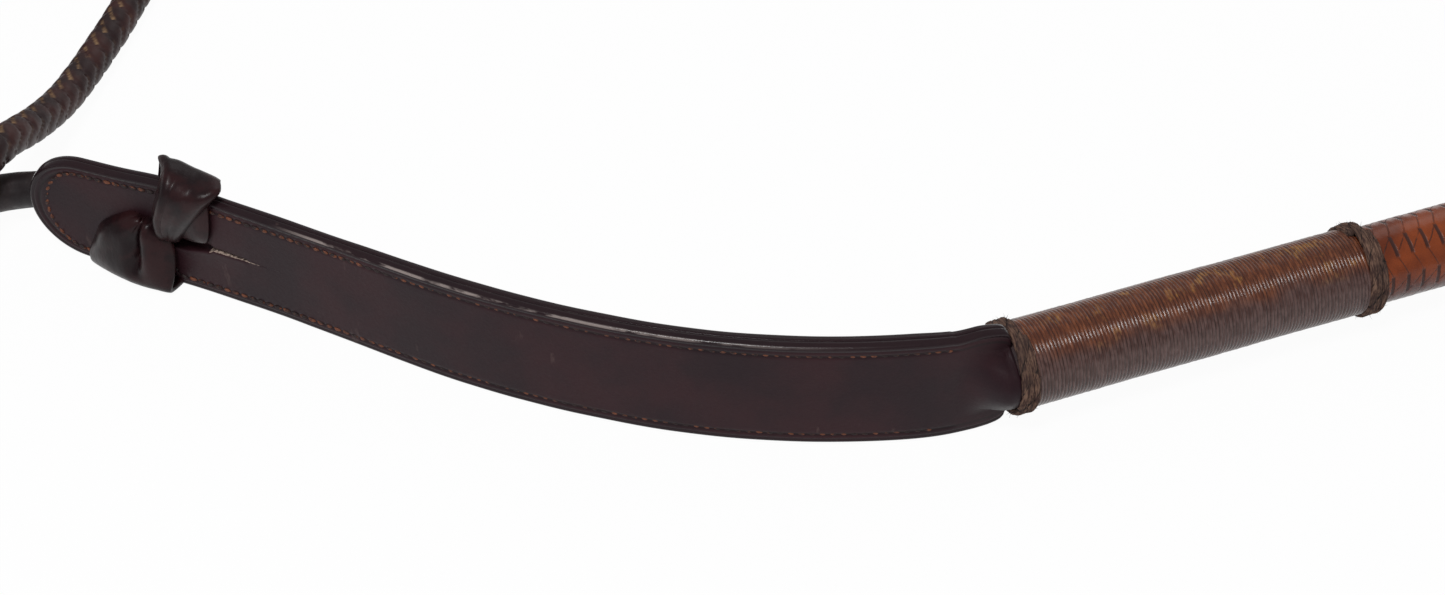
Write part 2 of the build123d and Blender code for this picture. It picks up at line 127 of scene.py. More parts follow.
def ease(value, start, end):
    """0 before start, 1 after end, and a smooth rise between them."""
    share = min(max((value - start) / (end - start), 0), 1)
    return share * share * (3 - 2 * share)


def bell(value, middle, width):
    """1 at the middle, falling smoothly to nothing about two widths away."""
    return exp(-(((value - middle) / width) ** 2))


def coil_point(turned):
    """Point of the wound thong after an angle round the coil: outer turn, inner turn, top turn."""
    inwards = ease(turned, radians(266), radians(360))
    upwards = ease(turned, radians(610), radians(682))
    radius = COIL_RADIUS + (0.5 - inwards + 0.5 * upwards) * THONG_DIAMETER
    height = route[-1].z + upwards * (COIL_TOP_HEIGHT - route[-1].z)
    angle = entry_angle + turned
    return coil_middle + Vector((radius * cos(angle), radius * sin(angle), height))


coil_turn = COIL_END_ANGLE - entry_angle
turned = COIL_STEP
while turned <= coil_turn:
    route.append(coil_point(turned))
    turned += COIL_STEP
curve = bpy.data.curves.new("thong_route", "CURVE")
curve.dimensions = "3D"
curve.resolution_u = 16
spline = curve.splines.new("NURBS")
spline.points.add(len(route) - 1)
for point, place in zip(spline.points, route):
    point.co = (*place, 1)
spline.order_u = 3
spline.use_endpoint_u = True
route_object = bpy.data.objects.new("thong_route", curve)
route_line = bpy.data.meshes.new_from_object(route_object)
raw_line = [vertex.co.copy() for vertex in route_line.vertices]
bpy.data.objects.remove(route_object)


class Line:
    """A smooth line in space, with a frame that turns as little as it can along it."""

    def __init__(self, points, up=Vector((0, 0, 1))):
        self.points = points
        self.lengths = [0.0]
        for before, after in zip(points, points[1:]):
            self.lengths.append(self.lengths[-1] + (after - before).length)
        self.length = self.lengths[-1]
        self.forwards = []
        for place in range(len(points)):
            before, after = points[max(place - 1, 0)], points[min(place + 1, len(points) - 1)]
            self.forwards.append((after - before).normalized())
        side = self.forwards[0].cross(up).normalized()
        self.sides = [side]
        for before, after in zip(self.forwards, self.forwards[1:]):
            side = before.rotation_difference(after) @ side
            side = (side - after * side.dot(after)).normalized()
            self.sides.append(side)
        self.place = 0

    def at(self, distance):
        """Point, forward direction and two directions across, a distance along the line."""
        distance = min(max(distance, 0), self.length)
        if self.lengths[self.place] > distance:
            self.place = 0
        while self.place < len(self.points) - 2 and self.lengths[self.place + 1] < distance:
            self.place += 1
        here = self.place
        span = self.lengths[here + 1] - self.lengths[here]
        share = (distance - self.lengths[here]) / span if span > 0 else 0
        point = self.points[here].lerp(self.points[here + 1], share)
        forward = self.forwards[here].lerp(self.forwards[here + 1], share).normalized()
        side = self.sides[here].lerp(self.sides[here + 1], share)
        side = (side - forward * side.dot(forward)).normalized()
        return point, forward, side, forward.cross(side)

    def off(self, distance, angle, radius):
        """Point a radius away from the line, at an angle round it."""
        point, forward, side, up = self.at(distance)
        return point + radius * (cos(angle) * side + sin(angle) * up)


MERGE_DISTANCE = 1e-6


def clear_selection():
    """Nothing is selected, so that the next operator acts on its own piece alone."""
    if bpy.context.object and bpy.context.object.mode == "EDIT":
        bpy.ops.object.mode_set(mode="OBJECT")
    bpy.ops.object.select_all(action="DESELECT")


def new_piece(name):
    """What the last operator made, under its own name."""
    piece = bpy.context.object
    piece.name = piece.data.name = name
    return piece


def modified(piece, kind, **settings):
    """A modifier of a kind is set up on the piece and applied."""
    modifier = piece.modifiers.new(kind.lower(), kind)
    for setting, value in settings.items():
        setattr(modifier, setting, value)
    bpy.ops.object.modifier_apply(modifier=modifier.name)


def shaped_grid(name, across, along, place, ends="filled"):
    """Piece made from a flat grid: each corner goes where place(u, v) says, with its own mark, which
    the finishes read as fraying, relief, edge distance and painted light.

    Its two open ends are filled, bridged to each other through the middle, or kept open. When
    they are left, the piece isn't merged either."""
    clear_selection()
    bpy.ops.mesh.primitive_grid_add(x_subdivisions=across, y_subdivisions=along, size=2)
    piece = new_piece(name)
    wear_and_painted_light = piece.data.attributes.new("wear_and_painted_light", "FLOAT", "POINT")
    for vertex in piece.data.vertices:
        u, v = (vertex.co.x + 1) / 2, (vertex.co.y + 1) / 2
        vertex.co, wear_and_painted_light.data[vertex.index].value = place(u, v)
    if ends != "left":
        merge_and_face_out(piece, ends)
    bpy.ops.object.shade_smooth()
    return piece


def merge_and_face_out(piece, ends):
    """Doubled corners become one, open rims are closed if asked, and faces point outwards."""
    bpy.context.view_layer.objects.active = piece
    bpy.ops.object.mode_set(mode="EDIT")
    bpy.ops.mesh.select_all(action="SELECT")
    bpy.ops.mesh.remove_doubles(threshold=MERGE_DISTANCE)
    bpy.ops.mesh.select_all(action="DESELECT")
    bpy.ops.mesh.select_mode(type="EDGE")
    bpy.ops.mesh.select_non_manifold(
        extend=False, use_wire=False, use_multi_face=False, use_verts=False
    )
    if ends == "bridged":
        bpy.ops.mesh.bridge_edge_loops()
    elif ends == "filled":
        bpy.ops.mesh.fill_holes(sides=0)
    bpy.ops.mesh.select_all(action="SELECT")
    bpy.ops.mesh.normals_make_consistent(inside=False)
    bpy.ops.object.mode_set(mode="OBJECT")


def joined(name, pieces):
    """One piece made of several."""
    clear_selection()
    for piece in pieces:
        piece.select_set(True)
    bpy.context.view_layer.objects.active = pieces[0]
    bpy.ops.object.join()
    return new_piece(name)


class Wire:
    """One output of a shader node, on which ordinary arithmetic adds Math nodes."""

    def __init__(self, finish, socket):
        self.finish = finish
        self.socket = socket

    def maths(self, operation, *values):
        return self.finish.add("ShaderNodeMath", {"operation": operation}, dict(enumerate(values)))

    def __add__(self, other):
        return self.maths("ADD", self, other)

    def __sub__(self, other):
        return self.maths("SUBTRACT", self, other)

    def __rsub__(self, other):
        return self.maths("SUBTRACT", other, self)

    def __mul__(self, other):
        return self.maths("MULTIPLY", self, other)

    def __truediv__(self, other):
        return self.maths("DIVIDE", self, other)

    __radd__ = __add__
    __rmul__ = __mul__

    def most(self, other):
        return self.maths("MAXIMUM", self, other)

    def size(self):
        return self.maths("ABSOLUTE", self)

    def fraction(self):
        return self.maths("FRACT", self)

    def whole(self):
        return self.maths("FLOOR", self)

    def between(self, low, high):
        """0 at low and below, 1 at high and above."""
        settings = {"interpolation_type": "SMOOTHSTEP"}
        sockets = {"Value": self, "From Min": low, "From Max": high}
        return self.finish.add("ShaderNodeMapRange", settings, sockets)


class Finish:
    """A material built from nodes round one Principled shader."""

    def __init__(self, name, roughness=0.5, specular=0.5, metallic=0.0, coat=0.0):
        self.material = bpy.data.materials.new(name)
        self.material.use_nodes = True
        self.tree = self.material.node_tree
        self.shader = self.tree.nodes["Principled BSDF"]
        fixed = {"Roughness": roughness, "Specular IOR Level": specular, "Metallic": metallic}
        fixed.update({"Coat Weight": coat, "Coat Roughness": 0.25})
        for socket, value in fixed.items():
            self.shader.inputs[socket].default_value = value

    def plug(self, socket, value):
        if isinstance(value, Wire):
            self.tree.links.new(value.socket, socket)
        else:
            socket.default_value = value

    def add(self, kind, settings=(), sockets=(), output=0):
        """A node of a kind, its settings made first and then its sockets plugged."""
        node = self.tree.nodes.new(kind)
        for setting, value in dict(settings).items():
            setattr(node, setting, value)
        for socket, value in dict(sockets).items():
            self.plug(node.inputs[socket], value)
        return Wire(self, node.outputs[output])

    def place(self):
        """Place on the piece, in metres."""
        return self.add("ShaderNodeTexCoord", output=3)

    def above(self, place, level):
        """Height above a level, in metres."""
        return self.add("ShaderNodeSeparateXYZ", (), {0: place}, output=2) - level

    def scaled(self, vector, scale):
        sockets = {"Vector": vector, "Scale": scale}
        return self.add("ShaderNodeMapping", {"vector_type": "POINT"}, sockets)

    def along(self):
        """The two coordinates of the piece's own map, round it and along it."""
        flat = self.add("ShaderNodeTexCoord", output=2)
        split = self.add("ShaderNodeSeparateXYZ", (), {0: flat})
        return split, Wire(self, split.socket.node.outputs[1])

    def attribute(self, name):
        return self.add("ShaderNodeAttribute", {"attribute_name": name}, output=2)

    def noise(self, vector, scale, detail=3.0, roughness=0.55):
        sockets = {"Vector": vector, "Scale": scale, "Detail": detail, "Roughness": roughness}
        return self.add("ShaderNodeTexNoise", (), sockets)

    def cells(self, vector, scale):
        sockets = {"Vector": vector, "Scale": scale}
        return self.add("ShaderNodeTexVoronoi", {"feature": "DISTANCE_TO_EDGE"}, sockets)

    def mixed(self, share, first, second):
        """Colour between two, each a Wire or a colour picker's values, by a share from 0 to 1."""
        ends = [end if isinstance(end, Wire) else srgb(*end) for end in (first, second)]
        sockets = {0: share, 6: ends[0], 7: ends[1]}
        return self.add("ShaderNodeMix", {"data_type": "RGBA"}, sockets, output=2)

    def bump(self, height, depth):
        sockets = {"Height": height, "Distance": depth, "Strength": 1.0}
        self.plug(self.shader.inputs["Normal"], self.add("ShaderNodeBump", (), sockets))

    def colour(self, value):
        self.plug(self.shader.inputs["Base Color"], value)

    def rough(self, value):
        self.plug(self.shader.inputs["Roughness"], value)


def srgb(red, green, blue):
    """Colour for a shader from the 0 to 255 values of a colour picker."""
    linear = []
    for value in (red, green, blue):
        share = value / 255
        linear.append(share / 12.92 if share <= 0.04045 else ((share + 0.055) / 1.055) ** 2.4)
    return (*linear, 1.0)


def wear_finish(piece, finish):
    """The piece shows this finish alone."""
    piece.data.materials.clear()
    piece.data.materials.append(finish.material)


PLAIT_COLUMNS = 4


def plait_relief(turn, distance, pitch, slant, jag):
    """Height of a round plait from 0 in its grooves to 1 on its strands, how far the nearest
    seam is, and the strand's number.

    The strands lie in columns round the core, slanted one way and then the other, and meet in
    jagged seams. turn counts whole turns round the core."""
    column_place = (turn % 1) * PLAIT_COLUMNS
    step = distance / pitch
    wave = (step % 1) - 0.5
    seam_place = column_place + jag * wave
    column = floor(seam_place)
    within = seam_place - column
    direction = 1 if column % 2 == 0 else -1
    band = step + direction * slant * (within - 0.5) + 0.5 * (column % 2)
    across = abs((band % 1) - 0.5) * 2
    to_seam = min(within, 1 - within)
    strand = 1 - across**6
    seam = 1 - bell(to_seam, 0, 0.05)
    return min(strand, seam), to_seam, floor(band) + 31 * (column % PLAIT_COLUMNS)


THONG_PITCH = 4.7 * MM
THONG_SEAM_TURN = 0.723
THONG_SLANT = 0.4
THONG_JAG = 0.5
THONG_GROOVE = 0.42 * MM
THONG_ROW_LENGTH = 0.45 * MM
NECK_HEM_LENGTH = 3.0 * MM
NECK_START_LENGTH = 5.0 * MM
thong_line = Line(raw_line)
plait_length = thong_line.length - NECK_LENGTH


def thong_surface(u, v):
    distance = NECK_LENGTH + v * plait_length
    turn = u - THONG_SEAM_TURN
    relief, to_seam, strand = plait_relief(turn, distance, THONG_PITCH, THONG_SLANT, THONG_JAG)
    uneven = 0.12 * MM * noise.noise(Vector((strand * 3.7, distance * 40, 0)))
    radius = THONG_DIAMETER / 2 - THONG_GROOVE * (1 - relief) + uneven
    frayed = bell(to_seam, 0, 0.2) * (0.3 + 0.7 * (1 - relief) ** 0.5)
    return thong_line.off(distance, u * tau, radius), frayed


def neck_surface(u, v):
    distance = v * (NECK_LENGTH + NECK_HEM_LENGTH)
    angle = u * tau
    fullness = 1 - 0.10 * sin(pi * min(v * 1.4, 1)) + 0.03 * sin(v * 9)
    crease = 0.05 * noise.noise(Vector((cos(angle) * 1.5, sin(angle) * 1.5, distance * 160)))
    seam = 0.06 * bell(u, 0.62, 0.02)
    hem = 0.09 * ease(distance, NECK_LENGTH, NECK_LENGTH + NECK_HEM_LENGTH)
    start = min(distance / NECK_START_LENGTH, 1)
    radius = NECK_DIAMETER / 2 * (fullness + crease - seam - hem) * sqrt(start * (2 - start))
    return thong_line.off(distance, angle, radius), seam


thong = shaped_grid("thong", 40, int(plait_length / THONG_ROW_LENGTH), thong_surface)
neck = shaped_grid("thong_neck_leather", 40, 120, neck_surface)


def thong_finish():
    """Dark oiled leather, browner in patches, tan where a seam has worn."""
    finish = Finish("thong_leather", roughness=0.42, specular=0.25)
    u, v = finish.along()
    spots = finish.noise(finish.place(), 900, 4)
    patches = finish.noise(finish.place(), 160, 3)
    base = finish.mixed(patches.between(0.35, 0.65), (38, 23, 24), (58, 32, 30))
    nearness = finish.attribute("wear_and_painted_light")
    worn = nearness.between(0.25, 0.95) * finish.noise(finish.place(), 420, 4).between(0.34, 0.6)
    one_side = (0.11 - (u - THONG_SEAM_TURN).size()).between(0, 0.03)
    finish.colour(finish.mixed(worn * (one_side * 0.85 + 0.12), base, (132, 104, 76)))
    finish.rough(spots * 0.25 + 0.3)
    finish.bump(spots + patches, 0.00006)
    return finish


def neck_finish():
    """Smooth leather, nearly black, greyer and drier in worn patches."""
    finish = Finish("neck_leather", roughness=0.45, specular=0.3)
    place = finish.place()
    patches = finish.noise(place, 130, 4)
    creases = finish.noise(finish.scaled(place, (1, 1, 0.4)), 700, 5)
    finish.colour(finish.mixed(patches.between(0.35, 0.7), (30, 24, 26), (52, 42, 42)))
    finish.rough(creases * 0.35 + 0.3)
    finish.bump(creases, 0.00012)
    return finish


wear_finish(thong, thong_finish())
wear_finish(neck, neck_finish())
thong = joined("thong", [thong, neck])
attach(thong, "thong")
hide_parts("thong_neck", "thong_plait", "thong_coil")


# Tie and knot: a narrow leather band buckled tight round the coil's three turns, and the knot
# at the thong's point, a wall knot of the same plait that lies on the coil behind its end.
TIE_ANGLE = radians(200)
TIE_WIDTH = 6.0 * MM
TIE_WALL = 0.6 * MM
TIE_CLEARANCE = 0.35 * MM
TIE_EDGE = 0.18 * MM
TIE_DISH = 0.25 * MM
CORNER_STEPS = 6
KNOT_ANGLE = radians(260)
KNOT_RADIUS = 4.3 * MM
KNOT_LENGTH = 11.0 * MM
KNOT_HEIGHT = 11.55 * MM

tie_corners = (
    (-1.0, 0.02),
    (1.0, 0.02),
    (1.0, 0.62),
    (0.55, 1.0),
    (-0.55, 1.0),
    (-1.0, 0.62),
)
tie_half = THONG_DIAMETER + TIE_CLEARANCE
tie_top = COIL_TOP_HEIGHT + THONG_DIAMETER / 2 + TIE_CLEARANCE
outline = []
for across, up in tie_corners:
    outline.append(Vector((across * tie_half, 0, max(up * tie_top, TIE_WALL))))
tie_rim = []
for before, here, after in zip(outline[-1:] + outline, outline, outline[1:] + outline[:1]):
    for step in range(CORNER_STEPS):
        share = (step + 0.5) / CORNER_STEPS
        first, second = before.lerp(here, 0.5 + share / 2), here.lerp(after, share / 2)
        tie_rim.append(first.lerp(second, share))
tie_turn = Matrix.Rotation(TIE_ANGLE, 3, "Z")


def tie_surface(u, v):
    spot = tie_rim[round(u * len(tie_rim)) % len(tie_rim)].copy()
    spot.y = (v - 0.5) * (TIE_WIDTH - 0.6 * MM)
    dish = TIE_DISH * (2 * v - 1) ** 2
    spot.x *= 1 - dish / (9 * MM)
    place = coil_middle + tie_turn @ (spot + Vector((COIL_RADIUS, 0, 0)))
    return place, 0


tie = shaped_grid("coil_tie_band", len(tie_rim), 8, tie_surface, ends="open")
modified(tie, "SOLIDIFY", thickness=TIE_WALL, offset=1)
modified(tie, "BEVEL", width=TIE_EDGE, segments=2)


def knot_surface(u, v):
    angle = u * tau
    along = Vector((sin(KNOT_ANGLE), -cos(KNOT_ANGLE), 0))
    across = Vector((cos(KNOT_ANGLE), sin(KNOT_ANGLE), 0))
    middle = coil_middle + across * COIL_RADIUS + Vector((0, 0, KNOT_HEIGHT))
    spread = sqrt(max(1 - (2 * v - 1) ** 4, 0))
    lobes = abs(sin(1.5 * angle + 2.4 * v))
    radius = KNOT_RADIUS * spread * (0.86 + 0.14 * lobes)
    out = across * cos(angle) + Vector((0, 0, 1)) * sin(angle)
    return middle + along * (v - 0.04) * KNOT_LENGTH + radius * out, lobes


knot = shaped_grid("point_knot", 48, 40, knot_surface)
point_finish = neck_finish()
for piece, node in ((tie, "coil_tie"), (knot, "thong_point_knot")):
    wear_finish(piece, point_finish)
    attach(piece, "thong")
    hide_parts(node)
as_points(thong_line.points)


# Keeper: two plies of dark bridle leather, glued and stitched, standing on their lower edges.
# They are cut with a half-round tip and a long slit for the thong, their edges are burnished
# round and creased, and their root is gathered under the whipping, where the keeper flexes.
# The keeper's curve from its root: lengths and bend radii in millimetres, 0 where straight.
KEEPER_STRETCHES = ((12.6, 49.6), (53.4, 146.0), (45.5, 202.0), (24.7, 0.0), (59.2, -395.0))
KEEPER_LENGTH = sum(length for length, radius in KEEPER_STRETCHES) * MM
HALF_WIDTH = 12.0 * MM
TIP_START = KEEPER_LENGTH - HALF_WIDTH
PLY_THICKNESS = 1.45 * MM
HALF_GLUE = 0.05 * MM
HALF_THICKNESS = PLY_THICKNESS + HALF_GLUE
ROOT_TUCK = 3.0 * MM
# Near the root: distances from it and how far the edges reach there, in millimetres.
SHOULDERS = ((8.0, 12.0), (3.0, 11.9), (0.5, 11.7), (-1.2, 11.4), (-2.4, 10.8), (-3.0, 8.6))
HUMP_DISTANCE = 2.4 * MM
HUMP_HEIGHT = 0.5 * MM
HUMP_WIDTH = 3.4 * MM
STRAP_RISE = 0.9 * MM
STRAP_RISE_WIDTH = 8.0 * MM
CORE_RADIUS = 6.0 * MM
SPREAD_START = 8.0 * MM
SPREAD_END = -1.5 * MM
# Where the thicker stretch starts, is full, starts to fade and ends, in millimetres.
SWELL_STRETCH = (2.0, 16.0, 95.0, 140.0)
SWELL_RISE = 0.4 * MM
SWELL_THICKNESS = 0.35 * MM
SLIT_END = KEEPER_LENGTH - 25.2 * MM
SLIT_EYE_START = KEEPER_LENGTH - 40.1 * MM
SLIT_EYE_RAMP = 7.0 * MM
SLIT_START = KEEPER_LENGTH - 56.0 * MM
SLIT_HALF_HEIGHT = 2.2 * MM
SLIT_CORNER = 0.8 * MM
SLIT_LIP_GAP = 0.22 * MM
SLIT_LIP_PROUD = 0.3 * MM
SLIT_LIP_WIDTH = 2.4 * MM
DENT_START = KEEPER_LENGTH - 30.8 * MM
DENT_END = KEEPER_LENGTH - 15.5 * MM
DENT_RAMP = 1.4 * MM
DENT_DEPTH = 1.5 * MM
EDGE_RADIUS = 0.72 * MM
SLIT_EDGE_RADIUS = 0.35 * MM
CREASE_MARGIN = 1.15 * MM
CREASE_WIDTH = 0.17 * MM
CREASE_DEPTH = 0.10 * MM
STITCH_MARGIN = 2.3 * MM
STITCH_GROOVE_WIDTH = 0.32 * MM
STITCH_GROOVE_DEPTH = 0.17 * MM
STITCH_START = 9.0 * MM
KEEPER_ROWS = 430
TIP_SHARE = 0.12


def station(distance):
    """Point and heading of the keeper's middle line, a distance along it from its root."""
    x, y, heading = root.x, root.y, pi
    left = distance
    for length, radius in KEEPER_STRETCHES:
        step = max(min(left, length * MM), 0)
        if radius:
            next_heading = heading - step / (radius * MM)
            x += radius * MM * (sin(heading) - sin(next_heading))
            y += radius * MM * (cos(next_heading) - cos(heading))
            heading = next_heading
        else:
            x += step * cos(heading)
            y += step * sin(heading)
        left -= step
        if left <= 0:
            break
    return x + left * cos(heading), y + left * sin(heading), heading


def on_keeper(distance, depth, height):
    """Point by the keeper: along it, out of its back (or, negative, its front), and above it."""
    x, y, heading = station(distance)
    return Vector((x + depth * sin(heading), y - depth * cos(heading), height))


def half_slit(distance):
    """Half of the slit's opening: an eye that the thong fills, then a thin cut that runs out."""
    from_end = SLIT_END - distance
    if from_end <= 0 or distance <= SLIT_START:
        return 0.0
    widening = ease(distance, SLIT_EYE_START, SLIT_EYE_START + SLIT_EYE_RAMP)
    eye = SLIT_CORNER + (SLIT_HALF_HEIGHT - SLIT_CORNER) * widening
    eye *= ease(distance, SLIT_EYE_START - 0.5 * MM, SLIT_EYE_START)
    eye *= sqrt(min(1, from_end / SLIT_HALF_HEIGHT))
    return max(eye, SLIT_LIP_GAP * (1 - ease(-distance, -SLIT_EYE_START, -SLIT_START)))


def swell(distance):
    """The stretch next to the whipping is a little thicker and higher than the rest."""
    rise_start, rise_end, fall_start, fall_end = (place * MM for place in SWELL_STRETCH)
    return ease(distance, rise_start, rise_end) * ease(-distance, -fall_end, -fall_start)


def edge_reach(distance, side):
    """How far the upper (side 1) or lower (side -1) edge lies from the keeper's middle line."""
    reach = HALF_WIDTH + (SWELL_RISE if side > 0 else 0) * swell(distance)
    for (start, first), (end, second) in zip(SHOULDERS, SHOULDERS[1:]):
        if distance < start * MM:
            share = min((start * MM - distance) / ((start - end) * MM), 1)
            reach = (first + (second - first) * share) * MM
    if side > 0:
        reach += HUMP_HEIGHT * bell(distance, HUMP_DISTANCE, HUMP_WIDTH)
        reach += STRAP_RISE * bell(distance, DENT_START, STRAP_RISE_WIDTH)
    else:
        rise = ease(distance, DENT_START - DENT_RAMP, DENT_START)
        reach -= DENT_DEPTH * rise * ease(-distance, -DENT_END - DENT_RAMP, -DENT_END)
    return reach


def root_spread(distance, reach):
    """How far a ply stands off the middle at its root, where it opens round the stock's core."""
    share = ease(-distance, -SPREAD_START, -SPREAD_END) ** 1.6
    return share * sqrt(max(CORE_RADIUS**2 - reach**2, 0))


def cut_ends(v, side):
    """Inner and outer end of the cut through half the keeper at a share of the way to its tip."""
    if v <= 1 - TIP_SHARE:
        distance = (TIP_START + ROOT_TUCK) * v / (1 - TIP_SHARE) - ROOT_TUCK
        inner = Vector((distance, half_slit(distance)))
        return inner, Vector((distance, edge_reach(distance, side)))
    swing = (v - 1 + TIP_SHARE) / TIP_SHARE * pi / 2
    outer = Vector((TIP_START + HALF_WIDTH * sin(swing), HALF_WIDTH * cos(swing)))
    return Vector((TIP_START, 0.0)), outer


# The cut's corners, from the slit over the outer face and round the edge to the glued face.
SLIT_MARGINS = (0.0, 0.06, 0.16, 0.35, 0.8, 1.6)
FACE_MARGINS = (7.0, 5.2, 4.0, 3.3, 2.9, 2.7, 2.5, 2.3, 2.1, 1.9, 1.7, 1.45, 1.3, 1.15, 1.0, 0.85)
RIM_MARGINS = (0.7, 0.55, 0.42, 0.3, 0.2, 0.11, 0.05, 0.0)
ply_cut = [("slit", margin * MM) for margin in SLIT_MARGINS]
ply_cut += [("face", margin * MM) for margin in FACE_MARGINS + RIM_MARGINS]
ply_cut += [("edge", share) for share in (0.35, 0.7, 0.92, 1.0)]
ply_cut += [("glued", share) for share in (0.03, 0.3, 0.7, 1.0)]


def rounded(margin, radius):
    """How far an edge rounded to a radius falls away, at a distance from its rim."""
    return radius - sqrt(max(radius**2 - max(radius - margin, 0) ** 2, 0))


def face_fall(margin, distance, height):
    """How far the worked face lies under the flat leather at a distance from its rim."""
    fall = rounded(margin, EDGE_RADIUS)
    fall += CREASE_DEPTH * bell(margin, CREASE_MARGIN, CREASE_WIDTH)
    if distance > STITCH_START - 2 * MM:
        fall += STITCH_GROOVE_DEPTH * bell(margin, STITCH_MARGIN, STITCH_GROOVE_WIDTH)
    fall += 0.07 * MM * noise.noise(Vector((distance * 90, height * 90, 3)))
    return fall


def ply_half(name, face_side, side):
    """Upper or lower half of one ply; face_side is -1 for the front ply and 1 for the back."""

    def surface(u, v):
        kind, amount = ply_cut[round(u * (len(ply_cut) - 1))]
        inner, outer = cut_ends(v, side)
        reach = (outer - inner).length
        margins = {"slit": max(reach - amount, 0), "face": min(amount, reach), "edge": 0}
        margin = margins.get(kind, reach * amount)
        spot = outer.lerp(inner, margin / reach)
        depth, bulge = HALF_GLUE, 0.0
        if kind in ("slit", "face"):
            depth = HALF_THICKNESS - face_fall(margin, spot.x, side * spot.y)
            if inner.y > 0.1 * MM:
                from_slit = reach - margin
                depth -= rounded(from_slit, SLIT_EDGE_RADIUS)
                proud = SLIT_LIP_PROUD * ease(-from_slit, -SLIT_LIP_WIDTH, 0)
                depth -= side * proud * min(inner.y / (0.3 * MM), 1)
        elif kind == "edge":
            depth = (HALF_THICKNESS - EDGE_RADIUS) * (1 - amount) + HALF_GLUE * amount
            bulge = 0.12 * MM * sin(pi * amount)
        thicker = SWELL_THICKNESS * swell(spot.x) * (depth / HALF_THICKNESS)
        depth += root_spread(spot.x, spot.y) + thicker
        place = on_keeper(spot.x, face_side * depth, axis_height + side * (spot.y + bulge))
        # The front ply's lower slit lip is marked with -1, for a painted highlight.
        on_rim = face_side < 0 and side < 0 and kind == "slit" and amount == 0
        lip_highlight_spot = on_rim and 0.05 * MM < inner.y < SLIT_CORNER
        return place, -1 if lip_highlight_spot else margin

    return shaped_grid(name, len(ply_cut) - 1, KEEPER_ROWS, surface, ends="left")


def wall_slit(half):
    """Faces between the outer and the glued face, where the slit leaves them apart."""
    shape = bmesh.new()
    shape.from_mesh(half.data)
    shape.verts.ensure_lookup_table()
    corners = len(ply_cut)
    gaps = [half_slit(cut_ends(row / KEEPER_ROWS, 1)[0].x) for row in range(KEEPER_ROWS + 1)]
    for row in range(KEEPER_ROWS):
        here, there = row * corners, (row + 1) * corners
        if gaps[row] + gaps[row + 1]:
            wall = [shape.verts[i] for i in (here, there, there + corners - 1, here + corners - 1)]
            shape.faces.new(wall)
    shape.to_mesh(half.data)
    shape.free()


def keeper_ply(name, face_side):
    """One ply: its halves share their middle line, and its root end is closed."""
    halves = [ply_half(f"{name}_{side}", face_side, side) for side in (1, -1)]
    for half in halves:
        wall_slit(half)
    ply = joined(name, halves)
    merge_and_face_out(ply, "filled")
    return ply


def keeper_finish():
    """Dark brown leather: purplish faces, blacker edges, scuffs, painted shade in the stitch groove,
    painted highlights on the top front corner and the slit's lower lip.
    """
    finish = Finish("keeper_leather", roughness=0.42, specular=0.17)
    place = finish.place()
    margin = finish.attribute("wear_and_painted_light") * 1000
    clouds = finish.noise(place, 55, 4)
    grain = finish.cells(place, 2600)
    pores = finish.noise(place, 1500, 4)
    face = finish.mixed(clouds.between(0.35, 0.68), (34, 18, 24), (48, 24, 29))
    edge_share = 1 - margin.between(0.9, 1.5)
    # Painted highlight: the marked slit lip is painted near white, as if it caught the lamp.
    painted_lip_highlight = 1 - margin.between(-0.9, -0.2)
    colour = finish.mixed(edge_share * 0.75, face, (36, 27, 30))
    # Painted shade: the stitch groove is darkened where its shadow falls.
    painted_groove_shade = 1 - (margin - STITCH_MARGIN / MM).size().between(0.15, 0.42)
    colour = finish.mixed(painted_groove_shade * 0.55, colour, (24, 18, 20))
    # Painted highlight: a pale broken line along the rounded upper front corner, over one stretch of
    # the keeper, where a glint of the lamp would lie.
    from_slit = finish.add("ShaderNodeSeparateXYZ", (), {0: place}) - hinges["thong_swing"].x
    streaks = finish.noise(finish.scaled(place, (0.2, 0.2, 1)), 900, 4)
    painted_corner_highlight = from_slit.between(0.010, 0.018) * (1 - from_slit.between(0.045, 0.105))
    painted_corner_highlight = painted_corner_highlight * (1 - (margin - 0.3).size().between(0.10, 0.26)) * streaks.between(0.38, 0.56)
    painted_corner_highlight = painted_corner_highlight * finish.above(place, axis_height).between(0, 0.002)
    colour = finish.mixed(painted_corner_highlight * 0.8, colour, (150, 138, 134))
    scuffs = finish.noise(finish.scaled(place, (1, 1, 0.35)), 260, 6).between(0.66, 0.78)
    colour = finish.mixed(scuffs * 0.35, colour, (104, 84, 80))
    colour = finish.mixed(painted_lip_highlight * pores.between(0.3, 0.6), colour, (176, 156, 144))
    finish.colour(colour)
    finish.rough(pores * 0.25 + clouds * 0.15 + 0.26 + edge_share * (pores * -0.2 - 0.17))
    finish.bump(pores * 0.6 + grain * 0.4, 0.00005)
    return finish


leather = keeper_finish()
for ply_name, node, face_side in (
    ("front_ply", "keeper_front_ply", -1),
    ("back_ply", "keeper_back_ply", 1),
):
    ply = keeper_ply(ply_name, face_side)
    wear_finish(ply, leather)
    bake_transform(ply)
    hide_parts(node)


# Stitching: waxed thread, thirteen stitches to the inch, laid in a groove along both edges and
# round the tip. Each stitch lies a little across the row and dives into the leather at its ends.
STITCH_PITCH = 1.93 * MM
STITCH_LENGTH = 1.75 * MM
STITCH_WIDTH = 0.72 * MM
TIP_INSET = 1.7 * MM
STITCH_SLANT = radians(13)
STITCH_SAG = 0.16 * MM
STITCH_SINK = 0.04 * MM


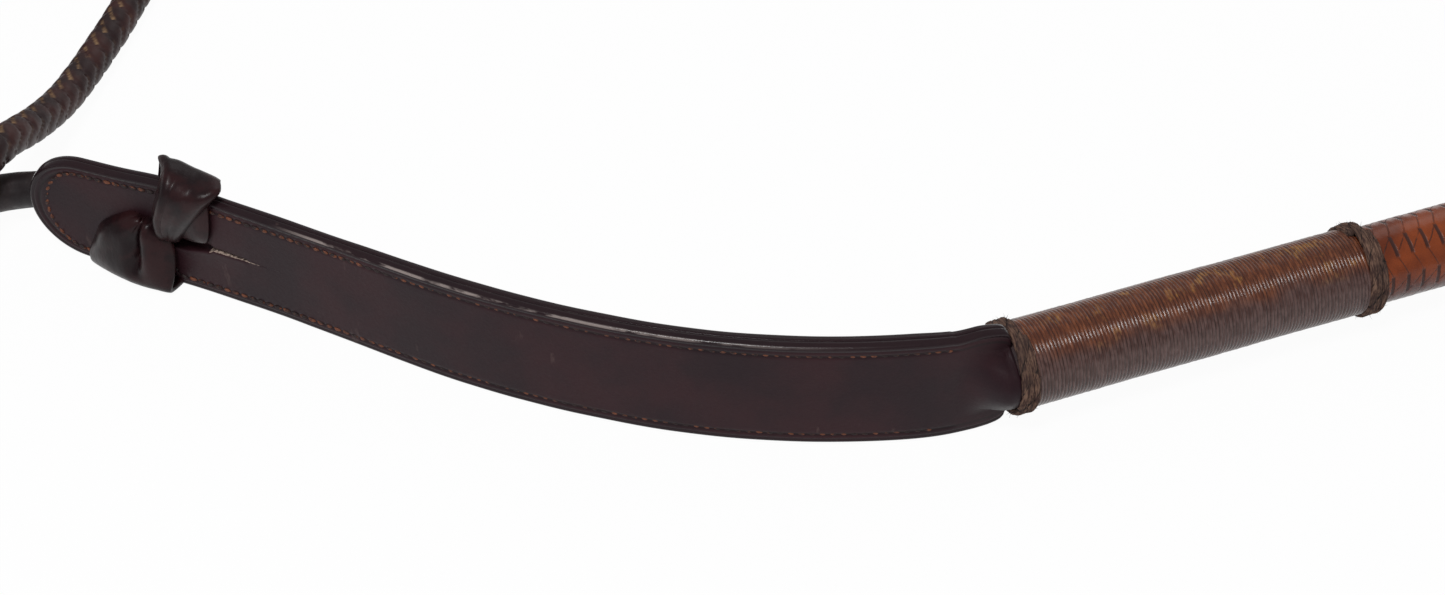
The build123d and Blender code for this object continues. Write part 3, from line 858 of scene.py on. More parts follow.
def stitch_spots():
    """Where each stitch lies on the flat keeper, as distance, reach from the middle and turn."""
    row = TIP_START - STITCH_START
    arc_radius = HALF_WIDTH - STITCH_MARGIN
    count = int((2 * row + pi * arc_radius) / STITCH_PITCH)
    for number in range(count):
        gone = number * STITCH_PITCH
        if gone < row:
            distance = STITCH_START + gone
            yield distance, edge_reach(distance, 1) - STITCH_MARGIN, 0
        elif gone < row + pi * arc_radius:
            swing = (gone - row) / arc_radius
            yield TIP_START + (arc_radius - TIP_INSET) * sin(swing), arc_radius * cos(swing), -swing
        else:
            distance = TIP_START - (gone - row - pi * arc_radius)
            yield distance, STITCH_MARGIN - edge_reach(distance, -1), pi


def stitching(name, face_side):
    """A whole row: one stitch is shaped, and a copy of it laid at each spot."""
    clear_selection()
    bpy.ops.mesh.primitive_uv_sphere_add(segments=10, ring_count=8, radius=0.5)
    first = bpy.context.object
    bpy.ops.transform.resize(value=(STITCH_LENGTH, STITCH_WIDTH, STITCH_WIDTH))
    bpy.ops.object.transform_apply(scale=True)
    for vertex in first.data.vertices:
        to_end = 2 * vertex.co.x / STITCH_LENGTH
        vertex.co.z -= STITCH_SAG * to_end**2
        vertex.co.y *= 1 - 0.35 * abs(to_end) ** 3
    shape = bmesh.new()
    luck = random.Random(7 + face_side)
    for distance, reach, turn in stitch_spots():
        heading = station(distance)[2]
        forward = Vector((cos(heading), sin(heading), 0))
        outwards = Vector((sin(heading), -cos(heading), 0)) * face_side
        upwards = Vector((0, 0, 1))
        slant = turn + STITCH_SLANT + luck.gauss(0, 0.05)
        lengthwise = forward * cos(slant) + upwards * sin(slant)
        crosswise = outwards.cross(lengthwise)
        spot = on_keeper(distance, face_side * (HALF_THICKNESS - STITCH_SINK), axis_height + reach)
        turned_axes = Matrix((lengthwise, crosswise, outwards)).transposed().to_4x4()
        size = luck.uniform(0.92, 1.05)
        laid = Matrix.Translation(spot) @ turned_axes @ Matrix.Scale(size, 4)
        copy = bmesh.new()
        copy.from_mesh(first.data)
        bmesh.ops.transform(copy, matrix=laid, verts=copy.verts)
        loose = bpy.data.meshes.new("stitch")
        copy.to_mesh(loose)
        copy.free()
        shape.from_mesh(loose)
        bpy.data.meshes.remove(loose)
    shape.to_mesh(first.data)
    shape.free()
    first.name = first.data.name = name
    bpy.ops.object.shade_smooth()
    return first


def stitch_finish():
    """Waxed linen, orange-brown where it is clean and dark where it is worn or dirty."""
    finish = Finish("stitch_thread", roughness=0.6, specular=0.3)
    place = finish.place()
    patches = finish.noise(place, 520, 3)
    twist = finish.noise(place, 4200, 2)
    finish.colour(finish.mixed(patches.between(0.44, 0.62), (36, 24, 24), (108, 62, 42)))
    finish.bump(twist, 0.00006)
    return finish


thread = stitch_finish()
for row_name, node, face_side in (
    ("front_stitches", "front_stitching", -1),
    ("back_stitches", "back_stitching", 1),
):
    row = stitching(row_name, face_side)
    wear_finish(row, thread)
    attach(row, "keeper")
    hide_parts(node)


# Eye of the thong: one soft dark strap. It comes out of the slit, turns up and over the top
# edge with some slack, runs down the back under the neck's root, is pulled under the lower
# edge, and goes up the front in a fold and back into the slit.
EYE_THICKNESS = 1.5 * MM
# Each row across the strap, in millimetres: its two ends as distances back from the keeper's
# tip, the height of each end above the table, its depth behind the keeper's middle, its crown.
EYE_ROWS = (
    (29.5, 32.5, 11.0, 11.3, 1.0, 0.0),
    (29.0, 32.6, 11.0, 11.6, -0.8, -0.5),
    (29.3, 34.7, 14.1, 15.0, -2.2, -1.6),
    (29.1, 37.8, 18.5, 19.2, -2.6, -2.3),
    (30.0, 41.0, 22.3, 24.1, -2.6, -2.6),
    (30.9, 43.2, 26.2, 26.8, -2.2, -2.2),
    (30.5, 44.0, 28.6, 27.4, -0.4, -1.2),
    (28.4, 42.0, 28.7, 26.4, 2.2, 0.4),
    (27.4, 40.0, 24.0, 23.0, 3.0, 0.6),
    (26.0, 38.0, 17.5, 17.0, 2.9, 0.8),
    (24.0, 36.0, 12.0, 12.0, 2.8, 1.0),
    (20.0, 35.0, 6.5, 6.5, 2.9, 0.8),
    (16.0, 33.5, 1.9, 1.9, 2.5, 0.4),
    (13.8, 32.5, 0.75, 0.75, 0.0, 0.0),
    (12.9, 32.0, 1.1, 1.0, -2.2, -1.2),
    (13.1, 32.5, 4.0, 3.8, -2.5, -2.6),
    (14.4, 32.2, 7.5, 9.0, -2.6, -2.7),
    (16.1, 31.3, 10.6, 12.1, -2.5, -2.4),
    (20.0, 29.8, 13.7, 14.0, -2.2, -2.0),
    (23.4, 28.8, 15.4, 15.0, -1.8, -1.2),
    (25.2, 28.6, 14.0, 13.9, -0.8, -0.4),
    (25.8, 28.4, 12.9, 12.9, 1.0, 0.0),
)


def through_rows(rows, share):
    """Values a share of the way along the rows, on a smooth curve through all of them."""
    place = share * (len(rows) - 1)
    here = min(int(place), len(rows) - 2)
    t = place - here
    near = [rows[min(max(here + step, 0), len(rows) - 1)] for step in (-1, 0, 1, 2)]
    values = []
    for a, b, c, d in zip(*near):
        bend = 2 * a - 5 * b + 4 * c - d + t * (3 * (b - c) + d - a)
        values.append(b + t / 2 * (c - a + t * bend))
    return values


# The strap's last fold, behind the upper leg's right edge, where it goes into the slit.
FOLD_ROWS = (
    (36.2, 41.4, 24.6, 24.0, -1.6, 0.0),
    (36.0, 41.5, 22.0, 21.6, -2.0, -0.5),
    (35.8, 41.2, 18.4, 18.4, -2.1, -0.7),
    (35.2, 40.6, 15.6, 15.8, -2.0, -0.6),
    (34.2, 39.8, 13.8, 14.2, -1.4, -0.4),
    (33.6, 39.4, 12.8, 13.3, 0.6, 0.0),
)


def strap_surface(rows, u, v):
    left, right, left_height, right_height, depth, crown = through_rows(rows, v)
    rise = sin(pi * min(max(u, 0), 1)) ** 0.7
    distance = KEEPER_LENGTH - (left + (right - left) * u) * MM
    height = left_height + (right_height - left_height) * u
    return distance, depth + crown * rise, height


def eye_surface(u, v):
    """The strap with its folds, in millimetres: u runs across it, v from slit round to slit."""
    distance, depth, height = strap_surface(EYE_ROWS, u, v)
    lower_leg = ease(v, 0.70, 0.76) * (1 - ease(v, 0.94, 1.0))
    upper_leg = ease(v, 0.04, 0.12) * (1 - ease(v, 0.26, 0.34))
    crest = bell(v, 0.30, 0.07)
    under = bell(v, 0.68, 0.06)
    roll_left = max(1 - u / 0.16, 0) ** 2
    roll_right = max((u - 0.86) / 0.14, 0) ** 2
    depth += lower_leg * (2.3 * bell(u, 0.62, 0.06) - 0.8 * bell(u, 0.78, 0.08))
    depth += lower_leg * 0.7 * bell(u, 0.50 - 0.5 * (v - 0.85), 0.035)
    depth += upper_leg * 0.4 * bell(u, 0.62 + 0.8 * (v - 0.2), 0.10)
    depth += (lower_leg + upper_leg) * (1.9 * roll_left + roll_right)
    height -= crest * (roll_left + 0.3 * roll_right + 0.4 * bell(u, 0.6, 0.28))
    ridge = bell(u, 0.21 + 0.3 * (0.30 - v), 0.055)
    depth -= max(upper_leg, crest) * 0.9 * ridge + under * 2.4 * u
    height += crest * 0.5 * ridge
    distance += crest * 0.6 * MM * (roll_right - roll_left)
    wrinkle = noise.noise(Vector((u * 9, v * 26, 5)))
    depth -= 0.09 * noise.noise(Vector((u * 5 + v * 14, v * 22 - u * 4, 9)))
    place = on_keeper(distance, depth * MM, height * MM)
    return place + Vector((0, 0, 0.12 * MM * wrinkle)), wrinkle


def fold_surface(u, v):
    distance, depth, height = strap_surface(FOLD_ROWS, u, v)
    return on_keeper(distance, depth * MM, height * MM), 0


def eye_finish():
    """Soft leather, near black, browner in patches."""
    finish = Finish("eye_leather", roughness=0.4, specular=0.18)
    place = finish.place()
    clouds = finish.noise(place, 150, 4)
    creases = finish.noise(finish.scaled(place, (1, 1, 0.5)), 900, 5)
    finish.colour(finish.mixed(clouds.between(0.4, 0.62), (24, 12, 15), (42, 20, 22)))
    finish.rough(creases * 0.18 + 0.24)
    finish.bump(creases, 0.00007)
    return finish


eye = shaped_grid("eye", 30, 190, eye_surface, ends="left")
fold = shaped_grid("eye_fold", 12, 30, fold_surface, ends="left")
eye = joined("eye", [eye, fold])
modified(eye, "SOLIDIFY", thickness=EYE_THICKNESS, offset=0)
modified(eye, "SUBSURF", levels=1, render_levels=1)
wear_finish(eye, eye_finish())
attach(eye, "keeper")
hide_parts("thong_eye")


# Whipping: one waxed linen thread wound close round the keeper's tails, about ninety-seven turns
# side by side. It shines along its crests, painted shade darkens its grooves, and painted shade and
# reflection dull its underside.
WHIPPING_START = 3.6 * MM
WHIPPING_LENGTH = 70.2 * MM
WHIPPING_RADIUS = 8.45 * MM
WHIPPING_BORE = 7.72 * MM
WHIPPING_SAG = 0.10 * MM
THREAD_PITCH = 0.72 * MM
THREAD_RELIEF = 0.30 * MM
THREAD_UNEVEN = 0.07 * MM
WHIPPING_ROWS = 781


def off_stock(distance, angle, radius):
    """Point round the stock: along it from the keeper, and out from its axis at an angle."""
    return stock_start + Vector((distance, radius * cos(angle), radius * sin(angle)))


def sleeve_place(v, rows, start, length):
    """Distance of a row along a sleeve's outside, and whether it is a rim of its bore instead."""
    row = round(v * rows)
    share = min(max((row - 1) / (rows - 2), 0), 1)
    return start + share * length, row in (0, rows)


def whipping_surface(u, v):
    distance, at_bore = sleeve_place(v, WHIPPING_ROWS, WHIPPING_START, WHIPPING_LENGTH)
    angle = u * tau
    if at_bore:
        return off_stock(distance, angle, WHIPPING_BORE), 0
    turn = distance / THREAD_PITCH - u
    unwound = floor(turn) + u
    across = 2 * (turn % 1) - 1
    crest = sqrt(1 - 0.92 * across**2)
    uneven = noise.noise(Vector((unwound * 2.3, 0, 7)))
    radius = WHIPPING_RADIUS - THREAD_RELIEF * (1 - crest) + THREAD_UNEVEN * uneven
    sag = WHIPPING_SAG * noise.noise(Vector((distance * 55, cos(angle), sin(angle))))
    return off_stock(distance, angle, radius + sag - 0.08 * MM), crest + 0.3 * uneven


def whipping_finish():
    """Waxed thread: lit orange-brown with painted golden sheen above, painted purple-brown shade and
    reflection below.
    """
    finish = Finish("waxed_thread", roughness=0.38, specular=0.36)
    place = finish.place()
    height = finish.above(place, axis_height) * 1000
    crest = finish.attribute("wear_and_painted_light")
    patches = finish.noise(place, 190, 4)
    wisps = finish.noise(finish.scaled(place, (3.4, 1, 1)), 520, 5)
    drift = finish.noise(place, 120, 2)
    # Painted light: by height, the top gets a lit orange-brown with patches of painted golden sheen,
    # and the underside a dull purple-brown painted shade and reflection.
    high = (height + drift * 5).between(7.0, 10.2)
    upper = finish.mixed(wisps.between(0.40, 0.68), (82, 42, 26), (114, 64, 38))
    painted_gold_sheen = patches.between(0.52, 0.66) * wisps.between(0.42, 0.58)
    upper = finish.mixed(painted_gold_sheen * 0.7, upper, (148, 104, 52))
    lower = finish.mixed(wisps.between(0.36, 0.64), (68, 45, 41), (92, 69, 65))
    colour = finish.mixed(high, lower, upper)
    # Painted shade: the low sides of each turn, between the turns, go near black.
    colour = finish.mixed(1 - crest.between(0.26, 0.74), colour, (34, 21, 19))
    finish.colour(colour)
    finish.rough(wisps * 0.28 + 0.08)
    finish.bump(wisps, 0.00005)
    return finish


whipping = shaped_grid("whipping_thread", 88, WHIPPING_ROWS, whipping_surface, ends="bridged")
wear_finish(whipping, whipping_finish())
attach(whipping, "stock")
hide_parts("whipping")


# Twine rings: rough two-strand hemp twine, three turns wound and hitched over each end of the
# whipping to hold it. Its hitch makes a lump above, and loose fibres stand off it.
TWINE_DIAMETER = 1.75 * MM
TWINE_TWIST_LENGTH = 9.0 * MM
TWINE_ROW_LENGTH = 0.3 * MM
RING_MEAN_RADIUS = 8.3 * MM
RING_STEPS = 64
RING_TURNS = 3
LUMP_HEIGHT = 0.7 * MM
FIBRE_WIDTH = 0.045 * MM
FIBRE_COUNT = 260


def ring_line(start, length, lump_angle):
    """Line of the twine, round and round from one side of the ring to the other."""
    points = []
    for step in range(RING_STEPS * RING_TURNS + 1):
        turned = step / RING_STEPS
        side = (turned / RING_TURNS) * (length - TWINE_DIAMETER) + TWINE_DIAMETER / 2
        angle = lump_angle - turned * tau
        near_lump = bell((turned + 0.5) % 1, 0.5, 0.06)
        wander = noise.noise(Vector((turned * 3.1, length * 900, 1)))
        lifted = LUMP_HEIGHT * near_lump * (1 if round(turned) == 1 else 0.25)
        radius = RING_MEAN_RADIUS + lifted + 0.10 * MM * wander
        points.append(off_stock(start + side + 0.3 * MM * wander, angle, radius))
    return Line(points, up=Vector((1, 0, 0)))


def twine(name, line):
    """Two strands of fibre laid together: each groove between them winds round the twine."""

    def surface(u, v):
        distance = v * line.length
        angle = u * tau
        twisted = angle - distance / TWINE_TWIST_LENGTH * tau
        strands = sqrt(abs(cos(twisted)) + 0.02)
        ply = noise.noise(Vector((cos(twisted) * 5, sin(twisted) * 5, distance * 160)))
        radius = TWINE_DIAMETER / 2 * (0.74 + 0.24 * strands + 0.14 * ply)
        if v in (0, 1):
            radius *= 0.3
        return line.off(distance, angle, radius), strands + ply

    return shaped_grid(name, 24, int(line.length / TWINE_ROW_LENGTH), surface)


def loose_fibres(name, line, seed):
    """Fine fibres that stand off the twine, each a thin three-sided spike."""
    luck = random.Random(seed)
    shape = bmesh.new()
    for _ in range(FIBRE_COUNT):
        point, forward, side, up = line.at(luck.random() * line.length)
        angle = luck.random() * tau
        outwards = (cos(angle) * side + sin(angle) * up).normalized()
        lean = (outwards + forward * luck.uniform(-1.6, 1.6)).normalized()
        foot = point + outwards * TWINE_DIAMETER * 0.4
        tip = foot + lean * luck.uniform(0.5, 1.5) * MM
        around = lean.orthogonal().normalized()
        corners = []
        for third in range(3):
            offset = Matrix.Rotation(third * tau / 3, 3, lean) @ around * FIBRE_WIDTH
            corners.append(shape.verts.new(foot + offset))
        corners.append(shape.verts.new(tip))
        for a, b, c in ((0, 1, 3), (1, 2, 3), (2, 0, 3), (0, 2, 1)):
            shape.faces.new((corners[a], corners[b], corners[c]))
    bmesh.ops.recalc_face_normals(shape, faces=shape.faces)
    mesh = bpy.data.meshes.new(name)
    mesh.attributes.new("wear_and_painted_light", "FLOAT", "POINT")
    shape.to_mesh(mesh)
    shape.free()
    fibres = bpy.data.objects.new(name, mesh)
    bpy.context.collection.objects.link(fibres)
    return fibres


def twine_finish():
    """Old hemp: grey-brown with tan streaks, and painted shade nearly black between the strands."""
    finish = Finish("hemp_twine", roughness=0.85, specular=0.2)
    place = finish.place()
    strand_height = finish.attribute("wear_and_painted_light")
    flat = finish.add("ShaderNodeTexCoord", output=2)
    streaks = finish.noise(finish.scaled(flat, (14, 70, 1)), 1, 6)
    dirt = finish.noise(place, 260, 3)
    colour = finish.mixed(streaks.between(0.4, 0.62), (60, 42, 38), (114, 88, 74))
    colour = finish.mixed(dirt.between(0.45, 0.7) * 0.6, colour, (52, 40, 38))
    # Painted shade: where the strands dip between each other the colour goes nearly black; the loose
    # fibres carry 0 and get it all over.
    colour = finish.mixed(1 - strand_height.between(0.1, 0.6), colour, (30, 24, 24))
    finish.colour(colour)
    finish.bump(streaks, 0.0002)
    return finish


hemp = twine_finish()
for ring_name, node, start, length, lump_angle in (
    ("ring_front_twine", "whipping_ring_front", 0.2 * MM, 4.6 * MM, radians(98)),
    ("ring_rear_twine", "whipping_ring_rear", 72.7 * MM, 4.8 * MM, radians(84)),
):
    line = ring_line(start, length, lump_angle)
    fibres_name = ring_name + "_fibres"
    parts = [twine(ring_name, line), loose_fibres(fibres_name, line, round(start * 1000))]
    ring = joined(ring_name, parts)
    wear_finish(ring, hemp)
    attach(ring, "stock")
    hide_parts(node)


# Stock: fine leather strands plaited close round the lined cane, six columns that meet in
# jagged seams. It is oiled orange-brown, lit on top and darker underneath in painted shade.
STOCK_PLAIT_START = 46.0 * MM
STOCK_PLAIT_LENGTH = 409.0 * MM
STOCK_TIP_RADIUS = 7.55 * MM
STOCK_HANDLE_RADIUS = 8.85 * MM
STOCK_PLAIT_THICKNESS = 1.4 * MM
STOCK_PITCH = 3.3 * MM
STOCK_GROOVE = 0.16 * MM
STOCK_SWELL = 0.05 * MM
STOCK_UNEVEN = 0.06 * MM
STOCK_ROWS = 900
SEAM_ANGLE = radians(119)
SEAMS = 6
SEAM_SPACING = 8.4
STROKE_REACH = 2.2
DIAGONAL_TOP = 1.8
DIAGONAL_FALL = 3.8
BEND_SHARE = 0.25


def stock_surface(u, v):
    distance, at_bore = sleeve_place(v, STOCK_ROWS, STOCK_PLAIT_START, STOCK_PLAIT_LENGTH)
    taper = (distance - STOCK_PLAIT_START) / STOCK_PLAIT_LENGTH
    radius = STOCK_TIP_RADIUS + taper * (STOCK_HANDLE_RADIUS - STOCK_TIP_RADIUS)
    angle = u * tau
    if at_bore:
        return off_stock(distance, angle, radius - STOCK_PLAIT_THICKNESS), 0
    turn = (u - SEAM_ANGLE / tau) * SEAMS
    column = floor(turn + 0.5)
    from_seam = (turn - column) * SEAM_SPACING
    step = (distance - STOCK_PLAIT_START) / STOCK_PITCH + 0.5 * (column % 2)
    off_stroke = (step % 1 - 0.5) * STOCK_PITCH / MM
    stroke = bell(off_stroke, 0, 0.34) * (1 - ease(abs(from_seam), 1.9, 3.0))
    across = bell(off_stroke, 0, 0.30) * 0.4
    uneven = noise.noise(Vector((floor(step) * 2.9, column % SEAMS * 1.7, 4)))
    rounding = STOCK_SWELL * cos(off_stroke * pi * MM / STOCK_PITCH)
    radius += STOCK_UNEVEN * uneven + rounding - STOCK_GROOVE * max(stroke, across)
    return off_stock(distance, angle, radius), uneven


def stock_lines(finish):
    """How dark the plait's joints are: strokes along each seam, slants between, thin lines."""
    u, v = finish.along()
    wander = finish.noise(finish.place(), 140, 3) * 0.14
    turn = (u - SEAM_ANGLE / tau) * SEAMS + wander
    column = (turn + 0.5).whole()
    from_seam = (turn - column) * SEAM_SPACING
    odd = (column * 0.5).fraction() * 2
    share = (v * STOCK_ROWS - 1) / (STOCK_ROWS - 2)
    step = share * (STOCK_PLAIT_LENGTH / STOCK_PITCH) + odd * 0.5 + wander
    off_stroke = step.fraction() - 0.5
    pitch = STOCK_PITCH / MM
    stroke = 1 - (off_stroke.size() * pitch).between(0.24, 0.50)
    stroke = stroke * (1 - from_seam.size().between(1.8, 2.6))
    slant_line = from_seam + off_stroke.fraction() * DIAGONAL_FALL - DIAGONAL_TOP
    slant = (1 - slant_line.size().between(0.08, 0.24)) * 0.75
    away = ((from_seam.size() - STROKE_REACH) / (SEAM_SPACING / 2 - STROKE_REACH)).most(0)
    bent = off_stroke - away * (1 - odd * 2) * BEND_SHARE
    thin = 1 - (bent.size() * pitch).between(0.05, 0.19)
    thin = thin * from_seam.size().between(1.9, 2.4) * 0.6
    broken = finish.noise(finish.place(), 420, 4).between(0.34, 0.52)
    return stroke.most(slant * broken).most(thin * (broken * 0.6 + 0.4))


def stock_finish():
    """Oiled leather: lit orange-brown over the top, purplish painted shade below, dark in the
    joints.
    """
    finish = Finish("plait_leather", roughness=0.3, specular=0.28)
    place = finish.place()
    height = finish.above(place, axis_height) * 1000
    clouds = finish.noise(place, 95, 4)
    grain = finish.noise(place, 1500, 5)
    lines = stock_lines(finish)
    # Painted light: a lit orange-brown for the top and a duller purplish painted shade and
    # reflection for the underside, chosen by height.
    upper = finish.mixed(clouds.between(0.35, 0.7), (96, 41, 19), (134, 62, 28))
    lower = finish.mixed(grain.between(0.4, 0.65), (72, 40, 36), (98, 62, 56))
    colour = finish.mixed((height + clouds * 4).between(-0.5, 5.0), lower, upper)
    colour = finish.mixed(lines * 0.85, colour, (42, 26, 26))
    finish.colour(colour)
    finish.rough(grain * 0.35 + lines * 0.3 + 0.08)
    finish.bump(grain * 0.3 - lines * 1.6, 0.00009)
    return finish


stock = shaped_grid("plaited_stock", 72, STOCK_ROWS, stock_surface, ends="bridged")
wear_finish(stock, stock_finish())
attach(stock, "stock")
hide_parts("stock_plait")


# Collar: a plain nickel tube with a rolled bead at each rim and a finer one between them,
# driven over the end of the plait and the handle's spigot. It is lightly scratched, and dull
# and yellower in patches.
COLLAR_START = 441.0 * MM
COLLAR_LENGTH = 36.0 * MM
COLLAR_RADIUS = 10.2 * MM
COLLAR_BORE = 8.97 * MM
BEAD_RADIUS = 1.1 * MM
MIDDLE_BEAD_RADIUS = 0.66 * MM
RIM_BEVEL = 0.25 * MM
TUBE_RADIUS = COLLAR_RADIUS - 0.3 * MM
SMOOTH_ANGLE = radians(40)

clear_selection()
bpy.ops.mesh.primitive_cylinder_add(vertices=96, radius=TUBE_RADIUS, depth=COLLAR_LENGTH)
collar = new_piece("nickel_collar")
bpy.ops.object.mode_set(mode="EDIT")
bpy.ops.mesh.select_mode(type="FACE")
bpy.ops.mesh.select_all(action="DESELECT")
shape = bmesh.from_edit_mesh(collar.data)
for face in shape.faces:
    face.select = abs(face.normal.z) > 0.9
bmesh.update_edit_mesh(collar.data)
bpy.ops.mesh.inset(thickness=TUBE_RADIUS - COLLAR_BORE)
bpy.ops.mesh.bridge_edge_loops()
bpy.ops.object.mode_set(mode="OBJECT")
modified(collar, "BEVEL", width=RIM_BEVEL, segments=3)
rings = []
end_bead_height = COLLAR_LENGTH / 2 - BEAD_RADIUS
for bead_height, bead in (
    (-end_bead_height, BEAD_RADIUS),
    (0.0, MIDDLE_BEAD_RADIUS),
    (end_bead_height, BEAD_RADIUS),
):
    clear_selection()
    bpy.ops.mesh.primitive_torus_add(
        location=(0, 0, bead_height),
        major_radius=COLLAR_RADIUS - bead,
        minor_radius=bead,
        major_segments=96,
        minor_segments=16,
    )
    rings.append(bpy.context.object)
collar = joined("nickel_collar", [collar] + rings)
bpy.ops.transform.rotate(value=pi / 2, orient_axis="Y", center_override=(0, 0, 0))
collar.location = stock_start + Vector((COLLAR_START + COLLAR_LENGTH / 2, 0, 0))
clear_selection()
collar.select_set(True)
bpy.ops.object.transform_apply(location=True, rotation=True, scale=True)
bpy.ops.object.shade_smooth_by_angle(angle=SMOOTH_ANGLE)


def nickel_finish():
    """Worn nickel: greyish, with fine scratches round it and yellower dull patches."""
    finish = Finish("collar_nickel", roughness=0.28, specular=0.5, metallic=1.0)
    place = finish.place()
    scratches = finish.noise(finish.scaled(place, (1, 14, 14)), 120, 5)
    tarnish = finish.noise(place, 140, 4).between(0.45, 0.7)
    finish.colour(finish.mixed(tarnish, (198, 192, 180), (146, 132, 108)))
    finish.rough(scratches * 0.3 + tarnish * 0.2 + 0.1)
    finish.bump(scratches, 0.00003)
    return finish


nickel = nickel_finish()
wear_finish(collar, nickel)
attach(collar, "stock")
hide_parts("collar")


# Crook: a fork of stag antler, its arm at right angles to the stock, for opening gates. It is
# grooved lengthwise and pearled, dark in the grooves and polished pale on the ridges.
HEEL_DISTANCE = 505.0 * MM
ARM_LENGTH = 112.0 * MM
BEND_RADIUS = 19.0 * MM
# Shares of the antler's length, and its radius there in millimetres.
CROOK_RADII = ((0.0, 10.4), (0.16, 11.7), (0.45, 10.6), (1.0, 9.4))
BURR_DISTANCE = 103.0 * MM
BURR_PROUD = 1.6 * MM
BURR_WIDTH = 2.1 * MM
RIDGE_DEPTH = 0.9 * MM
CROOK_TUCK = 2.0 * MM

neck_run = HEEL_DISTANCE - BEND_RADIUS - COLLAR_START - COLLAR_LENGTH + CROOK_TUCK
bend_run = BEND_RADIUS * pi / 2
arm_run = ARM_LENGTH - BEND_RADIUS
crook_length = neck_run + bend_run + arm_run


def crook_place(distance):
    """Point and heading of the antler's middle line, a distance along it from the collar."""
    corner = stock_start + Vector((HEEL_DISTANCE - BEND_RADIUS, BEND_RADIUS, 0))
    if distance < neck_run:
        return corner + Vector((distance - neck_run, -BEND_RADIUS, 0)), 0.0
    if distance < neck_run + bend_run:
        turn = (distance - neck_run) / BEND_RADIUS
        return corner + BEND_RADIUS * Vector((sin(turn), -cos(turn), 0)), turn
    return corner + Vector((BEND_RADIUS, distance - neck_run - bend_run, 0)), pi / 2


def crook_surface(u, v):
    distance = v * crook_length
    share = max(distance - CROOK_TUCK, 0) / (crook_length - CROOK_TUCK)
    for (start, first), (end, second) in zip(CROOK_RADII, CROOK_RADII[1:]):
        if share <= end:
            radius = (first + (second - first) * ease(share, start, end)) * MM
            break
    point, turn = crook_place(distance)
    angle = u * tau
    around = Vector((cos(angle) * 2.2, sin(angle) * 2.2, share * 2.6))
    ridges = noise.fractal(around * 1.3 + Vector((3, 7, 0)), 1.0, 2.0, 3)
    valleys = -abs(ridges) * 1.7
    pearls = noise.noise(Vector((cos(angle) * 4, sin(angle) * 4, distance * 190)))
    pearls = max(pearls - 0.12, 0) * 1.2
    burr = bell(distance, crook_length - (ARM_LENGTH - BURR_DISTANCE), BURR_WIDTH)
    crown = 0.72 + 0.28 * noise.noise(Vector((cos(angle) * 3.6, sin(angle) * 3.6, 11)))
    smooth_arm = ease(share, 0.0, 0.06) * (1 - 0.75 * ease(share, 0.955, 0.97))
    radius += smooth_arm * RIDGE_DEPTH * (valleys + pearls + 0.1) + BURR_PROUD * burr * crown
    out = Vector((sin(turn), -cos(turn), 0)) * cos(angle) + Vector((0, 0, 1)) * sin(angle)
    high = valleys + pearls + 0.7 * burr * crown
    return point + radius * out, high


def antler_finish():
    """Antler: ivory ridges over brown grooves, greyer patches, polished where it is held."""
    finish = Finish("antler_horn", roughness=0.42, specular=0.5, coat=0.1)
    place = finish.place()
    high = finish.attribute("wear_and_painted_light")
    stain = finish.noise(place, 120, 5)
    pores = finish.noise(place, 1100, 4)
    pale = (high + stain * 0.9).between(-0.35, 0.55)
    colour = finish.mixed(pale, (70, 48, 34), (196, 172, 136))
    colour = finish.mixed(stain.between(0.5, 0.72) * 0.5, colour, (126, 96, 66))
    colour = finish.mixed(pores.between(0.56, 0.7) * 0.3, colour, (86, 64, 46))
    finish.colour(colour)
    finish.rough(pores * 0.35 + 0.25)
    finish.bump(pores, 0.0001)
    return finish


crook = shaped_grid("antler_handle", 96, 620, crook_surface)
wear_finish(crook, antler_finish())
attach(crook, "stock")
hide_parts("antler_crook")


# Stud: a low domed nickel nail head with a small step near its rim, driven into the sawn end
# of the antler's arm, which it closes.
STUD_RADIUS = 7.5 * MM
STUD_THICKNESS = 3.4 * MM
STUD_STEP = 0.16

clear_selection()
bpy.ops.mesh.primitive_uv_sphere_add(segments=64, ring_count=32, radius=STUD_RADIUS)
stud = new_piece("domed_stud")
bpy.ops.object.mode_set(mode="EDIT")
bpy.ops.mesh.bisect(plane_co=(0, 0, 0), plane_no=(0, 0, 1), clear_inner=True, use_fill=True)
bpy.ops.object.mode_set(mode="OBJECT")
for vertex in stud.data.vertices:
    rim_share = hypot(vertex.co.x, vertex.co.y) / STUD_RADIUS
    step = 1 - STUD_STEP * ease(rim_share, 0.80, 0.86)
    vertex.co.z = min(vertex.co.z / STUD_RADIUS, 1) ** 0.8 * STUD_THICKNESS * step
stud.location = stock_start + Vector((HEEL_DISTANCE, ARM_LENGTH, 0))
stud.rotation_euler = (-pi / 2, 0, 0)
bpy.ops.object.transform_apply(location=True, rotation=True, scale=True)
bpy.ops.object.shade_smooth_by_angle(angle=SMOOTH_ANGLE)
wear_finish(stud, nickel)
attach(stud, "stock")
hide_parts("crook_stud")


# Hidden pieces: the cane core, its leather lining, the keeper's tails under the whipping, the
# thread that ends the plait and the steel dowel. They keep their shapes and get their finishes.
def plain_finish(name, low, high, scale, roughness, metallic=0.0):
    """A quiet finish whose colour drifts between two tones."""
    finish = Finish(name, roughness=roughness, metallic=metallic)
    place = finish.place()
    drift = finish.noise(finish.scaled(place, (0.2, 1, 1)), scale, 4)
    finish.colour(finish.mixed(drift.between(0.35, 0.65), low, high))
    finish.bump(drift, 0.00006)
    return finish


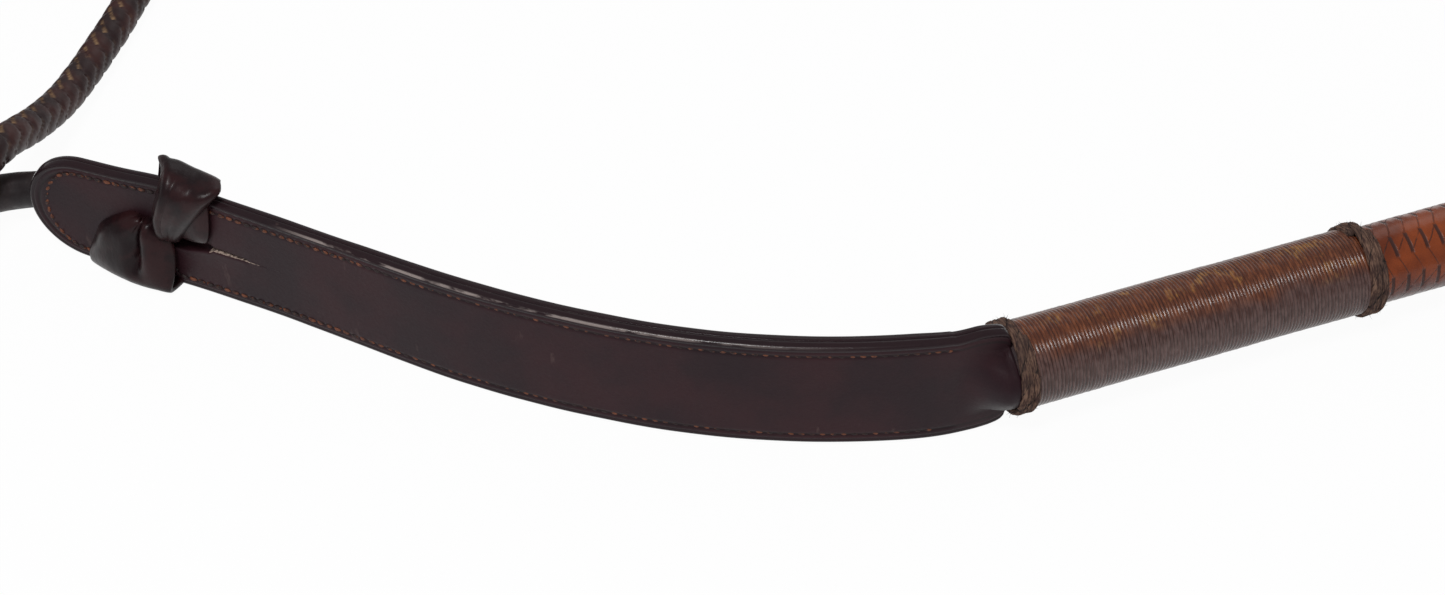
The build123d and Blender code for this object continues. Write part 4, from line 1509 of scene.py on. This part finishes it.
cane_finish = plain_finish("cane_wood", (150, 116, 72), (186, 150, 100), 700, 0.6)
lining_finish = plain_finish("lining_hide", (104, 74, 52), (134, 98, 70), 500, 0.7)
tail_finish = plain_finish("tail_hide", (44, 33, 36), (62, 44, 44), 420, 0.55)
end_finish = plain_finish("end_thread", (70, 48, 36), (112, 78, 52), 1800, 0.6)
dowel_finish = plain_finish("dowel_steel", (128, 130, 134), (168, 170, 174), 900, 0.35, metallic=1.0)
for node, finish in (
    ("stock_core", cane_finish),
    ("core_lining", lining_finish),
    ("keeper_front_tail", tail_finish),
    ("keeper_back_tail", tail_finish),
    ("plait_end_thread", end_finish),
    ("handle_dowel", dowel_finish),
):
    wear_finish(frame["nodes"][node], finish)


# Floor and light. A plain white table that shows white to the camera and in reflections, a
# soft light over the near side and a weaker one behind, and an even pale world.
FLOOR_SIZE = 8.0
FLOOR_DROP = 0.2 * MM
WHITE = (1.0, 1.0, 1.0, 1.0)
FLOOR_GLOW = 0.96
WORLD_STRENGTH = 0.41
bpy.ops.mesh.primitive_plane_add(size=FLOOR_SIZE, location=(0, 0, -FLOOR_DROP))
floor_sheet = bpy.context.object
floor_sheet.name = "table_top"
floor_finish = Finish("table_white", roughness=0.9, specular=0.1)
floor_finish.colour(srgb(236, 236, 238))
emission = floor_finish.add("ShaderNodeEmission", (), {"Color": WHITE, "Strength": 1.0})
rays = floor_finish.add("ShaderNodeLightPath").socket.node.outputs
seen = Wire(floor_finish, rays["Is Camera Ray"]) + Wire(floor_finish, rays["Is Glossy Ray"])
seen = seen + Wire(floor_finish, rays["Is Transmission Ray"])
mix = floor_finish.add("ShaderNodeMixShader", (), {0: seen * FLOOR_GLOW})
mix_node = mix.socket.node
floor_finish.tree.links.new(floor_finish.shader.outputs[0], mix_node.inputs[1])
floor_finish.tree.links.new(emission.socket, mix_node.inputs[2])
floor_finish.tree.links.new(mix.socket, floor_finish.tree.nodes["Material Output"].inputs[0])
wear_finish(floor_sheet, floor_finish)

scene = bpy.context.scene
scene.view_settings.view_transform = "Standard"
world = bpy.data.worlds.new("pale_room")
world.use_nodes = True
background = world.node_tree.nodes["Background"]
background.inputs["Color"].default_value = WHITE
background.inputs["Strength"].default_value = WORLD_STRENGTH
scene.world = world


def lamp(name, place, target, size, power):
    bpy.ops.object.light_add(type="AREA", location=place)
    light = bpy.context.object
    light.name = name
    light.data.shape = "DISK"
    light.data.size = size
    light.data.energy = power
    light.rotation_euler = (target - place).to_track_quat("-Z", "Y").to_euler()


middle = table + Vector((-80, 40, 12)) * MM
lamp("key", middle + Vector((-0.30, -0.36, 0.95)), middle, 0.30, 6.5)
lamp("fill", middle + Vector((0.8, 0.9, 0.9)), middle, 0.8, 1.5)
